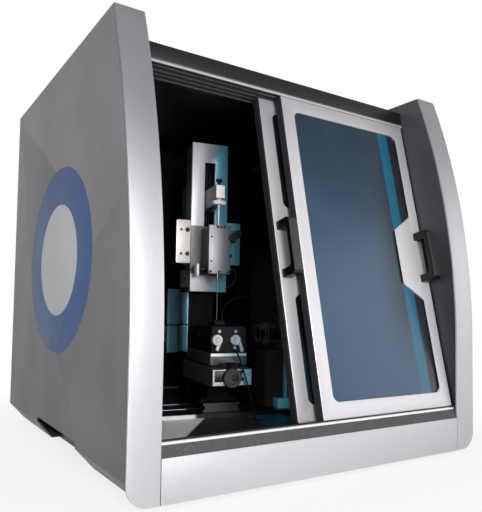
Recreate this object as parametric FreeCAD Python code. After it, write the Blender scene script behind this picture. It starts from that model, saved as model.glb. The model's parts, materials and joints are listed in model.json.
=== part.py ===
"""Bench tensiometer: a draught cabinet with two sliding doors, round a syringe drive over a heated cell."""
import FreeCAD
import Part
import math
import os

os.makedirs("parts", exist_ok=True)

# Units are millimetres. The cabinet is modelled with y = 0 at its front face and z = 0 at its lower
# edge, and every piece is moved to the part's own frame when it is exported.

# Cabinet shell
overall_width = 600.0
overall_depth = 615.0
cheek_rise = 15.0
cheek_width = 41.0
front_straight = 168.0
front_radius = 1200.0
skin = 2.0
skin_bend = 3.0
trim_thickness = 4.0
trim_corner = 27.0
bevel_inset = 26.0
bevel_height = 29.0
grip_start = 185.0
grip_end = 399.0
grip_height = 38.0
grip_corner = 9.0
overrun = 1.0
weld = 0.0001
half_turn = 180

# Feet
foot_height = 5.0
foot_radius = 15.0
foot_rim = 1.5
foot_inset_x = 70.0
foot_inset_y = 45.0

# Fascia and sill
fascia_height = 52.0
fascia_wall = 3.0
strip_lap = 2.4
strip_gap = 0.1
strip_edge = 0.5

# Doors and tracks
door_tilt = 12.7
door_start_y = 8.0
door_start_z = 71.5
door_width = 273.0
door_thickness = 10.0
door_pitch = 18.0
door_side_gap = 2.0
door_overlap_shift = 30.0
door_corner = 3.0
stile = 23.0
rail_width = 22.0
window_corner = 11.0
bezel_depth = 3.0
pane_lap = 6.0
pane_thickness = 4.0
pane_gap = 0.2
pocket_depth = 42.0
pocket_mouth_half = 72.0
pocket_inner_half = 46.0
pocket_corner = 8.0
tongue_height = 4.7
tongue_thickness = 5.0
track_base = 2.0
track_rib = 2.0
track_play = 0.5
track_clearance = 0.3
track_margin = 1.0
seal_thickness = 3.0
seal_proud = 1.2
seal_bead = 1.0

# Door handles
handle_length = 86.0
handle_height = 30.0
handle_width = 16.0
handle_bar = 9.0
handle_leg = 13.0
handle_corner = 9.0
handle_inner_corner = 5.0
handle_inset = 13.0
handle_edge = 1.6

# Header, roof, floor and back
header_rise = 22.7
header_lean = 2.4
header_depth = 40.0
header_wall = 2.0
head_room = 55.0
sheet = 2.0
sheet_flange = 12.0
floor_top = 42.0
tray_flange = 18.0
rear_recess = 10.0
rear_flange = 12.0
vent_length = 90.0
vent_height = 5.0
vent_pitch = 12.0
vent_rows = 6
vent_columns = 2
vent_column_pitch = 105.0
vent_centre = 110.0
vent_low = 420.0
inlet_body_width = 28.0
inlet_body_height = 21.0
inlet_depth = 24.0
inlet_fit = 0.2
inlet_flange_width = 50.0
inlet_flange_height = 25.0
inlet_flange_thickness = 3.0
inlet_socket_width = 24.0
inlet_socket_height = 16.5
inlet_socket_depth = 17.0
inlet_pin_width = 2.0
inlet_pin_height = 4.0
inlet_pin_pitch = 7.0
inlet_pin_offset = 2.0
inlet_pin_length = 14.0
inlet_side = 89.0
inlet_place_z = 21.0
supply_width = 98.0
supply_length = 160.0
supply_height = 30.0
supply_side = 51.0
supply_setback = 63.0
supply_corner = 2.0
cover_thickness = 2.0
cover_gap = 3.0
cover_left = 30.0
cover_width = 66.0
cover_low = 120.0
cover_row_heights = (61.0, 81.0)
cover_first_widths = (27.0, 40.0)

# Bench inside the cabinet. Its own axes are turned in plan about the needle.
needle_x = -27.5
needle_y = 280.5
bench_turn = 11.0
base_half_width = 190.0
base_front = 53.0
base_back = 255.0
base_thickness = 6.0
base_corner = 6.0
slot_width = 6.0
slot_depth = 3.0
slot_places = (0.0, 52.0)
rail_half_width = 33.0
rail_front = 34.0
rail_length = 124.0
rail_height = 14.0
rail_groove = 6.0
rail_groove_depth = 4.0

# Cell stage
carrier_half_width = 31.0
carrier_web = 20.0
carrier_flange = 7.0
carrier_front = 15.0
bed_half_width = 33.0
carrier_height = 33.0
bed_height = 30.0
bed_front = 77.0
bed_back = 88.0
bed_back_wall = 8.0
trough_half_width = 10.0
trough_floor = 6.0
way_half_width = 15.0
way_height = 7.0
way_undercut = 3.0
way_gap = 0.2
table_half_width = 32.0
table_front = 64.0
table_back = 70.0
table_lift = 3.0
table_height = 20.0
table_edge = 0.8
end_plate_half_width = 34.0
end_plate_rise = 1.5
end_plate_height = 27.0
end_plate_thickness = 5.0
end_plate_edge = 0.8
boss_half_width = 17.0
boss_height = 20.0
boss_depth = 3.0
screw_rise = 15.0
screw_radius = 4.0
screw_side = 3.5
screw_clearance = 0.06
screw_end_gap = 2.0
handwheel_radius = 15.5
handwheel_thickness = 9.0
handwheel_gap = 0.3
handwheel_dish = 2.0
handwheel_dish_radius = 10.0
handwheel_bevel = 1.0
handwheel_grips = 24
handwheel_grip_radius = 1.1
handwheel_grip_stand = 0.4
nut_gap = 1.0
nut_length = 22.0
nut_place = 40.0

# Heated cell
cell_half_width = 31.0
cell_back = 40.0
cell_height = 44.5
cell_edge = 1.5
axis_rise = 29.0
bore_radius = 7.0
chamber_half_x = 9.5
chamber_half_y = 13.5
chamber_floor_height = 3.0
cuvette_wall = 1.5
cuvette_gap = 0.3
cuvette_height = 38.0
cap_half_width = 10.0
cap_half_depth = 16.0
cap_height = 7.5
cap_edge = 1.0
cap_slot_half_width = 3.0
cap_slot_front = 7.0
cap_slot_back = 11.0
fitting_places = (-23.5, 8.0)
fitting_rise = 21.8
fitting_radius = 8.6
fitting_depth = 9.0
fitting_neck_radius = 4.5
fitting_neck = 3.0
fitting_rim = 1.2
barb_radius = 3.2
barb_length = 19.0
barb_offset = 6.5
barb_turns = (22.0, -18.0)
barb_ring = 0.6
barb_ring_length = 2.2
barb_rings = 3

# Column and syringe head
column_half_width = 25.0
column_front = 96.0
column_back = 148.0
column_head = 78.0
column_groove = 8.0
column_groove_depth = 4.0
dovetail_half_width = 10.0
dovetail_depth = 7.8
dovetail_undercut = 4.0
dovetail_gap = 0.2
dovetail_drop = 73.0
plate_front = 51.0
plate_thickness = 6.0
plate_half_width = 35.3
plate_drop = 31.5
plate_head = 36.0
plate_edge = 0.8
head_slot_half_width = 10.0
head_slot_rise = 6.0
head_slot_length = 120.0
housing_wall = 2.0
housing_depth = 28.0
housing_margin = 3.0
housing_corner = 3.0
connector_width = 13.7
connector_rise = 7.5
connector_height = 31.0
connector_depth = 15.0
connector_setback = 1.0
ear_half_width = 62.0
ear_rise = 20.0
ear_height = 79.0
ear_thickness = 5.0
ear_corner = 2.0
bracket_wall = 3.0
bracket_gap = 0.3
pad_half_width = 22.0
motor_half_width = 14.0
motor_half_depth = 10.0
motor_height = 30.0
motor_corner = 3.0
coupling_radius = 7.0
coupling_height = 16.0
coupling_gap = 0.2
drive_axis_y = 71.0
drive_screw_radius = 4.0
bearing_thickness = 6.0
bearing_rise = 35.0
bearing_gap = 10.0
holder_height = 83.0
holder_half_width = 15.0
holder_edge = 1.0
front_plate_half_width = 20.3
front_plate_front = 10.0
front_plate_thickness = 5.0
front_plate_lap = 1.5
front_plate_edge = 0.6
barrel_radius = 4.0
barrel_bore = 2.1
barrel_stand = 4.0
barrel_clearance = 0.05
hub_radius = 3.6
hub_neck_radius = 3.0
hub_tip_radius = 2.2
hub_height = 13.4
hub_flange_height = 3.0
needle_radius = 0.6
needle_length = 69.4
needle_clearance = 0.2
lug_right = 34.0
lug_drop = 6.0
lug_height = 22.0
lug_depth = 12.0
lug_corner = 4.0
side_port_radius = 5.5
side_port_place_x = 28.5
side_port_place_y = 26.0
side_port_drop = 4.0
side_port_height = 21.0
side_stub_radius = 3.0
side_stub_drop = 8.0
hose_barb_radius = 2.6
hose_barb_length = 5.0

# Pusher and plunger
pusher_half_width = 8.6
pusher_front = 9.0
pusher_rise = 32.0
pusher_height = 35.0
pusher_step = 11.0
pusher_step_depth = 17.0
pusher_edge = 0.6
pusher_gap = 0.3
drive_nut_half_width = 12.0
drive_nut_half_depth = 9.0
plunger_radius = 2.0
plunger_rise = 29.0
plunger_button_radius = 5.5
plunger_button_height = 3.0
clamp_half_width = 11.3
clamp_half_depth = 6.0
clamp_height = 7.0
clamp_edge = 0.8
thumb_head_radius = 6.0
thumb_head_height = 5.0
thumb_stem_radius = 2.6
thumb_stem_height = 7.0
thumb_gap = 0.2
thumb_edge = 0.8
thumb_pilot = 9.0
thumb_pilot_radius = 2.0
thumb_clearance = 0.05

# Winged clamp knob
knob_place_x = 27.0
knob_gap = 0.3
knob_hub_radius = 6.5
knob_hub_depth = 15.0
knob_crown = 1.5
knob_wing_reach = 10.5
knob_wing_radius = 5.0
knob_wing_depth = 8.0
knob_wing_turn = 38.0
knob_stud_radius = 2.5
knob_stud_length = 9.0
knob_clearance = 0.05

# Camera and light source
stand_left = 86.0
stand_right = 122.0
stand_table_right = 168.0
stand_half_depth = 19.0
stand_drop = 29.0
stand_plate = 8.0
stand_foot_right = 144.0
stand_edge = 1.0
slide_half_width = 12.0
slide_height = 4.0
slide_undercut = 2.5
slide_gap = 0.2
shoe_left = 103.0
shoe_right = 138.0
shoe_front = 38.0
shoe_height = 17.0
blade_places = (118.5, 127.0)
blade_thickness = 2.2
blade_heights = (105.0, 54.0)
blade_front = 36.0
blade_back = 26.0
camera_left = 121.0
camera_length = 63.0
camera_half_depth = 23.0
camera_height = 56.0
camera_edge = 2.0
lens_length = 43.0
lens_radius = 20.0
lens_ring_radius = 21.5
lens_ring_width = 9.0
lens_ring_place = 20.0
lens_nose_radius = 16.5
lens_nose_length = 8.0
lens_glass_radius = 12.0
lens_recess = 3.0
light_right = 108.0
light_length = 50.0
light_half_depth = 24.0
light_half_height = 30.0
light_edge = 2.0
light_tube_radius = 15.0
light_tube_length = 14.0
light_window_radius = 12.0
light_window_depth = 3.0
light_post_half_width = 10.0

# Cords, with each route in the bench's own axes
gland_length = 3.0
gland_wall = 1.4
cable_hole_half = 13.0
cable_hole_corner = 4.0
probe_radius = 1.3
probe_route = (
    (7.0, -67.0, 152.0), (7.0, -75.0, 152.0), (8.6, -83.5, 147.4), (11.5, -90.0, 134.0),
    (15.5, -94.0, 118.5), (20.5, -96.5, 101.0), (26.0, -97.5, 82.0), (31.0, -97.5, 62.0),
    (34.0, -96.5, 41.0), (35.0, -95.5, 22.0),
)
arc_radius = 1.2
arc_route = (
    (5.5, -12.0, 203.0), (5.5, -12.0, 214.0), (10.5, -14.5, 227.0), (21.0, -19.0, 237.0),
    (35.0, -23.5, 242.5), (51.0, -28.0, 241.5), (66.5, -33.5, 234.0), (79.5, -40.0, 220.5),
    (89.5, -47.0, 202.0), (97.5, -53.5, 180.0), (104.0, -59.0, 155.0), (109.0, -63.0, 128.0),
    (112.5, -65.5, 99.0), (114.0, -66.5, 70.0), (114.5, -66.5, 42.0), (114.0, -66.0, 22.0),
)
lead_radius = 0.9
lead_route = (
    (-35.0, 26.0, 291.0), (-39.5, 26.0, 291.0), (-43.2, 28.2, 289.4), (-45.4, 32.3, 285.6),
    (-46.2, 37.6, 280.6), (-45.9, 42.6, 275.6), (-45.0, 47.5, 271.5), (-45.0, 52.0, 271.5),
)
hose_radius = 1.8
bend_share = 0.45
hose_route = (
    (20.0, 12.0, 292.0), (27.0, 12.0, 292.0), (35.0, 14.8, 292.4), (42.8, 23.4, 289.2),
    (47.8, 32.4, 283.0), (50.2, 42.4, 276.0), (51.0, 52.0, 270.6), (51.8, 61.5, 266.0),
    (48.3, 67.5, 263.2), (42.3, 71.0, 262.0), (35.3, 71.0, 262.0),
)

# Heights, from the floor up through the stage, the cell and the head to the roof
base_top = floor_top + base_thickness
rail_top = base_top + rail_height
bed_bottom = rail_top + carrier_height
bed_top = bed_bottom + bed_height
screw_height = bed_bottom + screw_rise
end_plate_low = bed_bottom + end_plate_rise
table_bottom = bed_top + table_lift
table_top = table_bottom + table_height
axis_height = table_top + axis_rise
fitting_height = table_top + fitting_rise
stand_top = axis_height - stand_drop
cell_top = table_top + cell_height
cap_top = cell_top + cap_height
needle_tip = cap_top + needle_clearance
holder_low = needle_tip + needle_length + hub_height
holder_high = holder_low + holder_height
front_plate_low = holder_low - front_plate_lap
front_plate_high = holder_high + front_plate_lap
side_port_low = holder_low - side_port_drop
side_port_high = side_port_low + side_port_height
side_stub_height = side_port_high - side_stub_drop
lug_high = holder_high - lug_drop
lug_low = lug_high - lug_height
knob_place_z = lug_low + lug_height / 2
plunger_low = holder_low + plunger_rise
ear_low = holder_low + ear_rise
ear_high = ear_low + ear_height
bearing_low = holder_low + bearing_rise
plate_low = holder_low - plate_drop
connector_low = plate_low + connector_rise
connector_high = connector_low + connector_height
head_slot_low = holder_high + head_slot_rise
head_slot_high = head_slot_low + head_slot_length
pusher_low = head_slot_low + pusher_rise
pusher_high = pusher_low + pusher_height
bearing_high = head_slot_high + bearing_gap
plate_high = head_slot_high + plate_head
dovetail_low = ear_low - dovetail_drop
column_top = ear_high + column_head
roof_top = plate_high + head_room
cheek_height = roof_top + cheek_rise

# Places that several pieces share
half_width = overall_width / 2
inner_half = half_width - cheek_width
rear_face = overall_depth - rear_recess
rear_inside = rear_face - sheet
inlet_place_x = inner_half - inlet_side
tilt = math.radians(door_tilt)
track_low = -(tongue_height + track_clearance + track_base)
track_high = (roof_top - header_rise - door_start_z) / math.cos(tilt)
door_length = track_high + track_low
groove = tongue_thickness + 2 * track_play
groove_places = (door_thickness / 2, door_pitch + door_thickness / 2)
track_width = door_pitch + 2 * door_thickness
rail_back = rail_length - rail_front
housing_front = plate_front + plate_thickness
housing_back = housing_front + housing_depth
housing_low = plate_low + housing_margin
housing_high = plate_high - housing_margin
motor_top = housing_low + housing_wall + motor_height
holder_front = front_plate_front - front_plate_thickness
handwheel_back = -(bed_front + end_plate_thickness + boss_depth + handwheel_gap)

vector = FreeCAD.Vector
ZERO = vector(0, 0, 0)
X, Y, Z = vector(1, 0, 0), vector(0, 1, 0), vector(0, 0, 1)


def block(x0, x1, y0, y1, z0, z1):
    """A box between two corners."""
    return Part.makeBox(x1 - x0, y1 - y0, z1 - z0, vector(x0, y0, z0))


def rod(radius, start, direction, length):
    """A round bar from start along direction."""
    return Part.makeCylinder(radius, length, start, direction)


def turned(profile, start, axis):
    """A turned piece: profile holds (radius, distance along the axis) pairs."""
    across = (X if abs(axis.dot(X)) < abs(axis.dot(Y)) + abs(axis.dot(Z)) else Y)
    points = [start + across * radius + axis * distance for radius, distance in profile]
    return Part.Face(Part.makePolygon(points + points[:1])).revolve(start, axis, 360)


def wire(points, radii=None):
    """A closed wire through points, with each corner rounded by its radius."""
    count = len(points)
    if radii is None:
        radii = [0] * count
    ends = []
    for i, point in enumerate(points):
        if not radii[i]:
            ends.append((point, None, point))
            continue
        into = (points[i - 1] - point).normalize()
        out = (points[(i + 1) % count] - point).normalize()
        half = into.getAngle(out) / 2
        reach = radii[i] / math.tan(half)
        middle = (into + out).normalize() * (radii[i] / math.sin(half) - radii[i])
        ends.append((point + into * reach, point + middle, point + out * reach))
    edges = []
    for i, (start, middle, end) in enumerate(ends):
        if middle is not None:
            edges.append(Part.Arc(start, middle, end).toShape())
        following = ends[(i + 1) % count][0]
        if end.distanceToPoint(following) > weld:
            edges.append(Part.LineSegment(end, following).toShape())
    return Part.Wire(edges)


def prism(points, direction, radii=None):
    """A solid swept along direction from a closed outline."""
    return Part.Face(wire(points, radii)).extrude(direction)


def offset(points, distance, normal, closed=True):
    """Points moved sideways by distance, to the left of the way round as seen against normal."""
    moved = []
    count = len(points)
    for i, point in enumerate(points):
        sides = []
        if closed or i > 0:
            sides.append(normal.cross((point - points[i - 1]).normalize()))
        if closed or i < count - 1:
            sides.append(normal.cross((points[(i + 1) % count] - point).normalize()))
        total = sides[0] if len(sides) == 1 else (sides[0] + sides[1]) * (1 / (1 + sides[0].dot(sides[1])))
        moved.append(point + total * distance)
    return moved


def folded(points, thickness, length, bend=0):
    """Sheet metal bent along points, thickened to the left of them and swept along length."""
    normal = vector(length).normalize()
    inner = offset(points, thickness, normal, closed=False)
    count = len(points)
    outer_radii = [bend if 0 < i < count - 1 else 0 for i in range(count)]
    inner_radii = [bend - thickness if bend and 0 < i < count - 1 else 0 for i in range(count)]
    return prism(points + inner[::-1], length, outer_radii + inner_radii[::-1])


def fuse(*shapes):
    """One solid from several that touch or overlap."""
    return shapes[0].multiFuse(list(shapes[1:])).removeSplitter()


def cut(shape, *tools):
    """A solid less its tools."""
    return shape.cut(list(tools)).removeSplitter()


def along(shape, direction):
    """The straight edges of a shape that run along direction."""
    found = []
    for edge in shape.Edges:
        if isinstance(edge.Curve, Part.Line) and edge.Curve.Direction.cross(direction).Length < weld:
            found.append(edge)
    return found


def rounded(shape, radius, *directions):
    """A shape whose edges along the given directions are rounded."""
    edges = [edge for direction in directions for edge in along(shape, direction)]
    return shape.makeFillet(radius, edges)


def eased(shape, size):
    """A shape with a small bevel on every edge."""
    return shape.makeChamfer(size, shape.Edges)


def mirrored(shape):
    """The left-hand piece of a right-hand one."""
    return shape.mirror(ZERO, X)


def front_y(height, setback=0):
    """Where the cheek's front edge lies at a height, set back square to the curve."""
    if height <= front_straight:
        return setback
    rise = height - front_straight
    return front_radius - math.sqrt((front_radius - setback) ** 2 - rise ** 2)


def cheek_prism(setback, left, right):
    """The cheek's side outline as a solid between two planes of x."""
    middle_height = (front_straight + cheek_height) / 2
    low = vector(left, setback, 0)
    bend = vector(left, setback, front_straight)
    middle = vector(left, front_y(middle_height, setback), middle_height)
    top = vector(left, front_y(cheek_height, setback), cheek_height)
    rear_top = vector(left, overall_depth, cheek_height)
    rear_low = vector(left, overall_depth, 0)
    edges = [Part.LineSegment(low, bend).toShape(), Part.Arc(bend, middle, top).toShape()]
    for start, end in ((top, rear_top), (rear_top, rear_low), (rear_low, low)):
        edges.append(Part.LineSegment(start, end).toShape())
    return Part.Face(Part.Wire(edges)).extrude(X * (right - left))


def side_panel():
    """The right cheek's folded outer skin, with the hand grip cut in its lower edge."""
    inner = inner_half + skin
    section = [
        vector(inner, 0, 0), vector(half_width - bevel_inset, 0, 0), vector(half_width, 0, bevel_height),
        vector(half_width, 0, cheek_height), vector(inner, 0, cheek_height),
    ]
    section.reverse()
    sheet_metal = folded(section, skin, Y * overall_depth)
    panel = sheet_metal.common(cheek_prism(trim_thickness, inner_half, half_width + overrun))
    whole = prism(section, Y * skin).translated(Y * (overall_depth - skin))
    back = whole.common(block(half_width - rear_flange, half_width, 0, overall_depth, 0, cheek_height))
    grip = block(inner_half, half_width + overrun, grip_start, grip_end, -overrun, grip_height)
    upper = [edge for edge in along(grip, X) if edge.CenterOfMass.z > 0]
    return cut(fuse(panel, back), grip.makeFillet(grip_corner, upper))


def liner():
    """The flat plate that closes the right cheek towards the chamber."""
    return cheek_prism(trim_thickness, inner_half, inner_half + skin)


def front_trim():
    """The bright band down the right cheek's front edge."""
    band = cut(
        cheek_prism(0, inner_half, half_width),
        cheek_prism(trim_thickness, inner_half - overrun, half_width + overrun))
    corners = [
        vector(inner_half, 0, 0), vector(half_width, 0, 0),
        vector(half_width, 0, cheek_height), vector(inner_half, 0, cheek_height),
    ]
    return band.common(prism(corners, Y * overall_depth, [0, trim_corner, 0, 0]))


def rubber_feet():
    """Four round feet under the tray."""
    profile = (
        (0, 0), (foot_radius, 0), (foot_radius, -foot_height + foot_rim),
        (foot_radius - foot_rim, -foot_height), (0, -foot_height),
    )
    feet = []
    for x in (-half_width + foot_inset_x, half_width - foot_inset_x):
        for y in (foot_inset_y, overall_depth - foot_inset_y):
            feet.append(turned(profile, vector(x, y, 0), Z))
    return Part.makeCompound(feet)


def door_point(across, rise, x=0):
    """A point of the tilted door plane, in cabinet axes."""
    y = door_start_y + across * math.cos(tilt) + rise * math.sin(tilt)
    z = door_start_z - across * math.sin(tilt) + rise * math.cos(tilt)
    return vector(x, y, z)


def in_door_plane(shape):
    """A shape drawn upright (x, across, rise), leaned back into the doors' plane."""
    leaned = shape.rotated(ZERO, X, -door_tilt)
    return leaned.translated(vector(0, door_start_y, door_start_z))


def track(base_low, rib_low, rib_high):
    """An extruded two-groove track between the liners."""
    base = block(-inner_half, inner_half, 0, track_width, base_low, base_low + track_base)
    walls = [base]
    for place in groove_places:
        for edge in (place - groove / 2 - track_rib, place + groove / 2):
            walls.append(block(-inner_half, inner_half, edge, edge + track_rib, rib_low, rib_high))
    walls.append(block(-inner_half, inner_half, track_width - track_rib, track_width, rib_low, rib_high))
    return in_door_plane(fuse(*walls))


def lower_track():
    """The track on the fascia's ledge."""
    return track(track_low, track_low + track_base, -track_margin)


def upper_track():
    """The track under the header."""
    return track(track_high - track_base, door_length + track_margin, track_high - track_base)


ledge_front = door_point(0, track_low)
ledge_back = door_point(track_width, track_low)


def front_fascia():
    """The sheet below the doors: its face, the ledge that carries the track, and a drop to the floor."""
    inside_front = door_point(fascia_wall, track_low - fascia_wall)
    inside_y = ledge_back.y - fascia_wall
    inside_across = (inside_y - door_start_y - (track_low - fascia_wall) * math.sin(tilt)) / math.cos(tilt)
    inside_back = door_point(inside_across, track_low - fascia_wall)
    outline = [
        ZERO, vector(0, 0, fascia_height), vector(0, strip_lap, fascia_height), ledge_front, ledge_back,
        vector(0, ledge_back.y, floor_top), vector(0, inside_y, floor_top), inside_back, inside_front,
        vector(0, strip_lap + fascia_wall, fascia_height),
        vector(0, fascia_wall, fascia_height - fascia_wall), vector(0, fascia_wall, 0),
    ]
    return prism(outline, X * 2 * inner_half).translated(X * -inner_half)


def sill_strip():
    """The dark strip between the fascia and the lower track."""
    outline = [
        vector(0, strip_gap, fascia_height), vector(0, strip_lap, fascia_height), ledge_front,
        door_point(0, track_low + strip_edge) - Y * strip_gap,
    ]
    return prism(outline, X * 2 * inner_half).translated(X * -inner_half)


def header_beam():
    """The hollow beam over the doors."""
    low_front = door_point(0, track_high)
    low_back = door_point(track_width, track_high)
    outline = [
        low_front, low_back, vector(0, low_front.y + header_depth, roof_top),
        vector(0, low_front.y + header_lean, roof_top),
    ]
    inner = offset(outline, header_wall, X)
    beam = cut(prism(outline, X * 2 * inner_half), prism(inner, X * 2 * inner_half))
    return beam.translated(X * -inner_half)


roof_start = door_point(0, track_high).y + header_depth


def flanged(top, drop, start, end, thickness=sheet):
    """A sheet between the liners with a flange along each, up or down by drop."""
    line = [
        vector(-inner_half, 0, top - drop), vector(-inner_half, 0, top),
        vector(inner_half, 0, top), vector(inner_half, 0, top - drop),
    ]
    if drop < 0:
        line.reverse()
    return folded(line, thickness, Y * (end - start), bend=skin_bend).translated(Y * start)


def roof_panel():
    """The top sheet, let in between the cheeks."""
    return flanged(roof_top, sheet_flange, roof_start, rear_inside)


def base_tray():
    """The bottom sheet."""
    return flanged(0, -tray_flange, fascia_wall, rear_inside)


def cable_hole(route):
    """The clearance hole in the floor where a cable of the bench goes down."""
    end = route[-1]
    tool = block(
        end[0] - cable_hole_half, end[0] + cable_hole_half,
        end[1] - cable_hole_half, end[1] + cable_hole_half,
        floor_top - sheet - overrun, floor_top + overrun)
    return on_bench(rounded(tool, cable_hole_corner, Z))


def chamber_floor():
    """The floor sheet of the chamber."""
    floor = flanged(floor_top, sheet_flange, ledge_back.y - fascia_wall, rear_inside)
    return cut(floor, cable_hole(probe_route), cable_hole(arc_route))


def inlet_frame(width, height, y0, y1):
    """A block centred on the power inlet."""
    return block(
        inlet_place_x - width / 2, inlet_place_x + width / 2, y0, y1,
        inlet_place_z - height / 2, inlet_place_z + height / 2)


def rear_panel():
    """The back sheet, with its vents and the inlet's cut-out."""
    panel = block(-inner_half, inner_half, rear_inside, rear_face, 0, roof_top)
    tools = [inlet_frame(
        inlet_body_width + 2 * inlet_fit, inlet_body_height + 2 * inlet_fit,
        rear_inside - overrun, rear_face + overrun)]
    for column in range(vent_columns):
        x = (column - (vent_columns - 1) / 2) * vent_column_pitch - vent_centre
        for row in range(vent_rows):
            z = vent_low + row * vent_pitch
            tools.append(block(
                x - vent_length / 2, x + vent_length / 2,
                rear_inside - overrun, rear_face + overrun, z, z + vent_height))
    return cut(panel, *tools)


def power_inlet():
    """The mains inlet: a flanged body with a deep socket and three flat pins."""
    mouth = rear_face + inlet_flange_thickness
    body = fuse(
        inlet_frame(inlet_body_width, inlet_body_height, rear_face - inlet_depth, rear_face),
        inlet_frame(inlet_flange_width, inlet_flange_height, rear_face, mouth))
    floor = mouth - inlet_socket_depth
    body = cut(body, inlet_frame(inlet_socket_width, inlet_socket_height, floor, mouth + overrun))
    pins = []
    for step in (-1, 0, 1):
        x = inlet_place_x + step * inlet_pin_pitch
        z = inlet_place_z + (inlet_pin_offset if step == 0 else -inlet_pin_offset)
        pins.append(block(
            x - inlet_pin_width / 2, x + inlet_pin_width / 2, floor, floor + inlet_pin_length,
            z - inlet_pin_height / 2, z + inlet_pin_height / 2))
    return fuse(body, *pins)


def power_supply():
    """The supply unit that stands in the base, on the tray."""
    right, back = inner_half - supply_side, rear_inside - supply_setback
    body = block(
        right - supply_width, right, back - supply_length, back, sheet, sheet + supply_height)
    return rounded(body, supply_corner, Z)


def rear_cover_plates():
    """Four plain plates on the back wall inside the chamber."""
    plates = []
    low = cover_low
    for height, first in zip(cover_row_heights, cover_first_widths):
        split = cover_left + first
        for x0, x1 in ((cover_left, split), (split + cover_gap, cover_left + cover_width)):
            plates.append(block(x0, x1, rear_inside - cover_thickness, rear_inside, low, low + height))
        low += height + cover_gap
    return Part.makeCompound(plates)


def window_outline(edge_x, sense, depth, lap):
    """A door's window outline. The grip pocket is on the side of edge_x, and lap lets it into the frame."""
    side = stile - lap
    middle = door_length / 2
    mouth = pocket_mouth_half - lap / 2
    inner = pocket_inner_half - lap / 2
    shape = (
        (side, rail_width - lap, window_corner), (side, middle - mouth, pocket_corner),
        (side + pocket_depth, middle - inner, pocket_corner),
        (side + pocket_depth, middle + inner, pocket_corner),
        (side, middle + mouth, pocket_corner), (side, door_length - rail_width + lap, window_corner),
        (door_width - side, door_length - rail_width + lap, window_corner),
        (door_width - side, rail_width - lap, window_corner),
    )
    points = [vector(edge_x - sense * across, depth, rise) for across, rise, _ in shape]
    return points, [radius for _, _, radius in shape]


def door_frame(left, across, sense):
    """One door's frame, with its window, the pane's rebate behind, and a tongue above and below."""
    edge_x = left + door_width if sense > 0 else left
    body = block(left, left + door_width, across, across + door_thickness, 0, door_length)
    body = rounded(body, door_corner, Z)
    window, radii = window_outline(edge_x, sense, across - overrun, 0)
    rebate, rebate_radii = window_outline(edge_x, sense, across + bezel_depth, pane_lap)
    middle = across + door_thickness / 2
    inset = door_corner
    tongues = [
        block(left + inset, left + door_width - inset, middle - tongue_thickness / 2,
              middle + tongue_thickness / 2, low, low + tongue_height)
        for low in (-tongue_height, door_length)
    ]
    body = cut(
        body, prism(window, Y * (door_thickness + 2 * overrun), radii),
        prism(rebate, Y * door_thickness, rebate_radii))
    return in_door_plane(fuse(body, *tongues))


def door_window(left, across, sense):
    """One door's tinted pane, seated against the frame's bezel."""
    edge_x = left + door_width if sense > 0 else left
    points, radii = window_outline(edge_x, sense, across + bezel_depth, pane_lap - pane_gap)
    return in_door_plane(prism(points, Y * pane_thickness, radii))


def door_seal(left, across):
    """The rubber seal along one door's left edge, with a bead before and behind."""
    low, high = across - seal_proud, across + door_thickness + seal_proud
    strip = block(left - seal_thickness, left, low, high, 0, door_length)
    return in_door_plane(rounded(strip, seal_bead, Z))


def door_handle(centre, across):
    """One door's bar handle, its two legs on the door's face."""
    middle = door_length / 2
    low, high = middle - handle_length / 2, middle + handle_length / 2
    left = centre - handle_width / 2
    front = across - handle_height
    outer = [vector(left, across, low), vector(left, front, low), vector(left, front, high),
             vector(left, across, high)]
    inner_low, inner_high, bar = low + handle_leg, high - handle_leg, front + handle_bar
    inner = [vector(left, across + overrun, inner_low), vector(left, bar, inner_low),
             vector(left, bar, inner_high), vector(left, across + overrun, inner_high)]
    body = prism(outer, X * handle_width, [0, handle_corner, handle_corner, 0])
    body = cut(body, prism(inner, X * handle_width, [0, handle_inner_corner, handle_inner_corner, 0]))
    edges = [edge for edge in body.Edges if edge.CenterOfMass.y < across - weld
             and abs(edge.CenterOfMass.x - centre) > handle_width / 2 - weld]
    return in_door_plane(body.makeFillet(handle_edge, edges))


def on_bench(shape):
    """A shape drawn about the needle, turned and moved to its place in the cabinet."""
    turned_shape = shape.rotated(ZERO, Z, -bench_turn)
    return turned_shape.translated(vector(needle_x, needle_y, 0))


def bench_base():
    """The thick plate that the whole bench stands on, with two cross slots."""
    plate = block(-base_half_width, base_half_width, -base_front, base_back, floor_top, base_top)
    plate = rounded(plate, base_corner, Z)
    slots = [
        block(-base_half_width - overrun, base_half_width + overrun, place - slot_width / 2,
              place + slot_width / 2, base_top - slot_depth, base_top + overrun)
        for place in slot_places
    ]
    return cut(plate, *slots)


def grooved_bar(half, front, back, low, high, groove_width, groove_depth):
    """A bar along y with a groove down each side."""
    bar = block(-half, half, front, back, low, high)
    middle = (low + high) / 2
    grooves = []
    for inner, outer in ((-half - overrun, -half + groove_depth), (half - groove_depth, half + overrun)):
        grooves.append(block(
            inner, outer, front - overrun, back + overrun,
            middle - groove_width / 2, middle + groove_width / 2))
    return cut(bar, *grooves)


def bench_rail():
    """The short rail that carries the stage."""
    return grooved_bar(
        rail_half_width, -rail_front, rail_back, base_top, rail_top, rail_groove, rail_groove_depth)


def stage_carrier():
    """The I-shaped block between the rail and the stage's bed."""
    section = []
    for side in (1, -1):
        steps = [
            (carrier_half_width, rail_top), (carrier_half_width, rail_top + carrier_flange),
            (carrier_web, rail_top + carrier_flange), (carrier_web, bed_bottom - carrier_flange),
            (carrier_half_width, bed_bottom - carrier_flange), (carrier_half_width, bed_bottom),
        ]
        if side < 0:
            steps.reverse()
        section += [vector(side * x, -carrier_front, z) for x, z in steps]
    return prism(section, Y * (carrier_front + bed_back))


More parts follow.
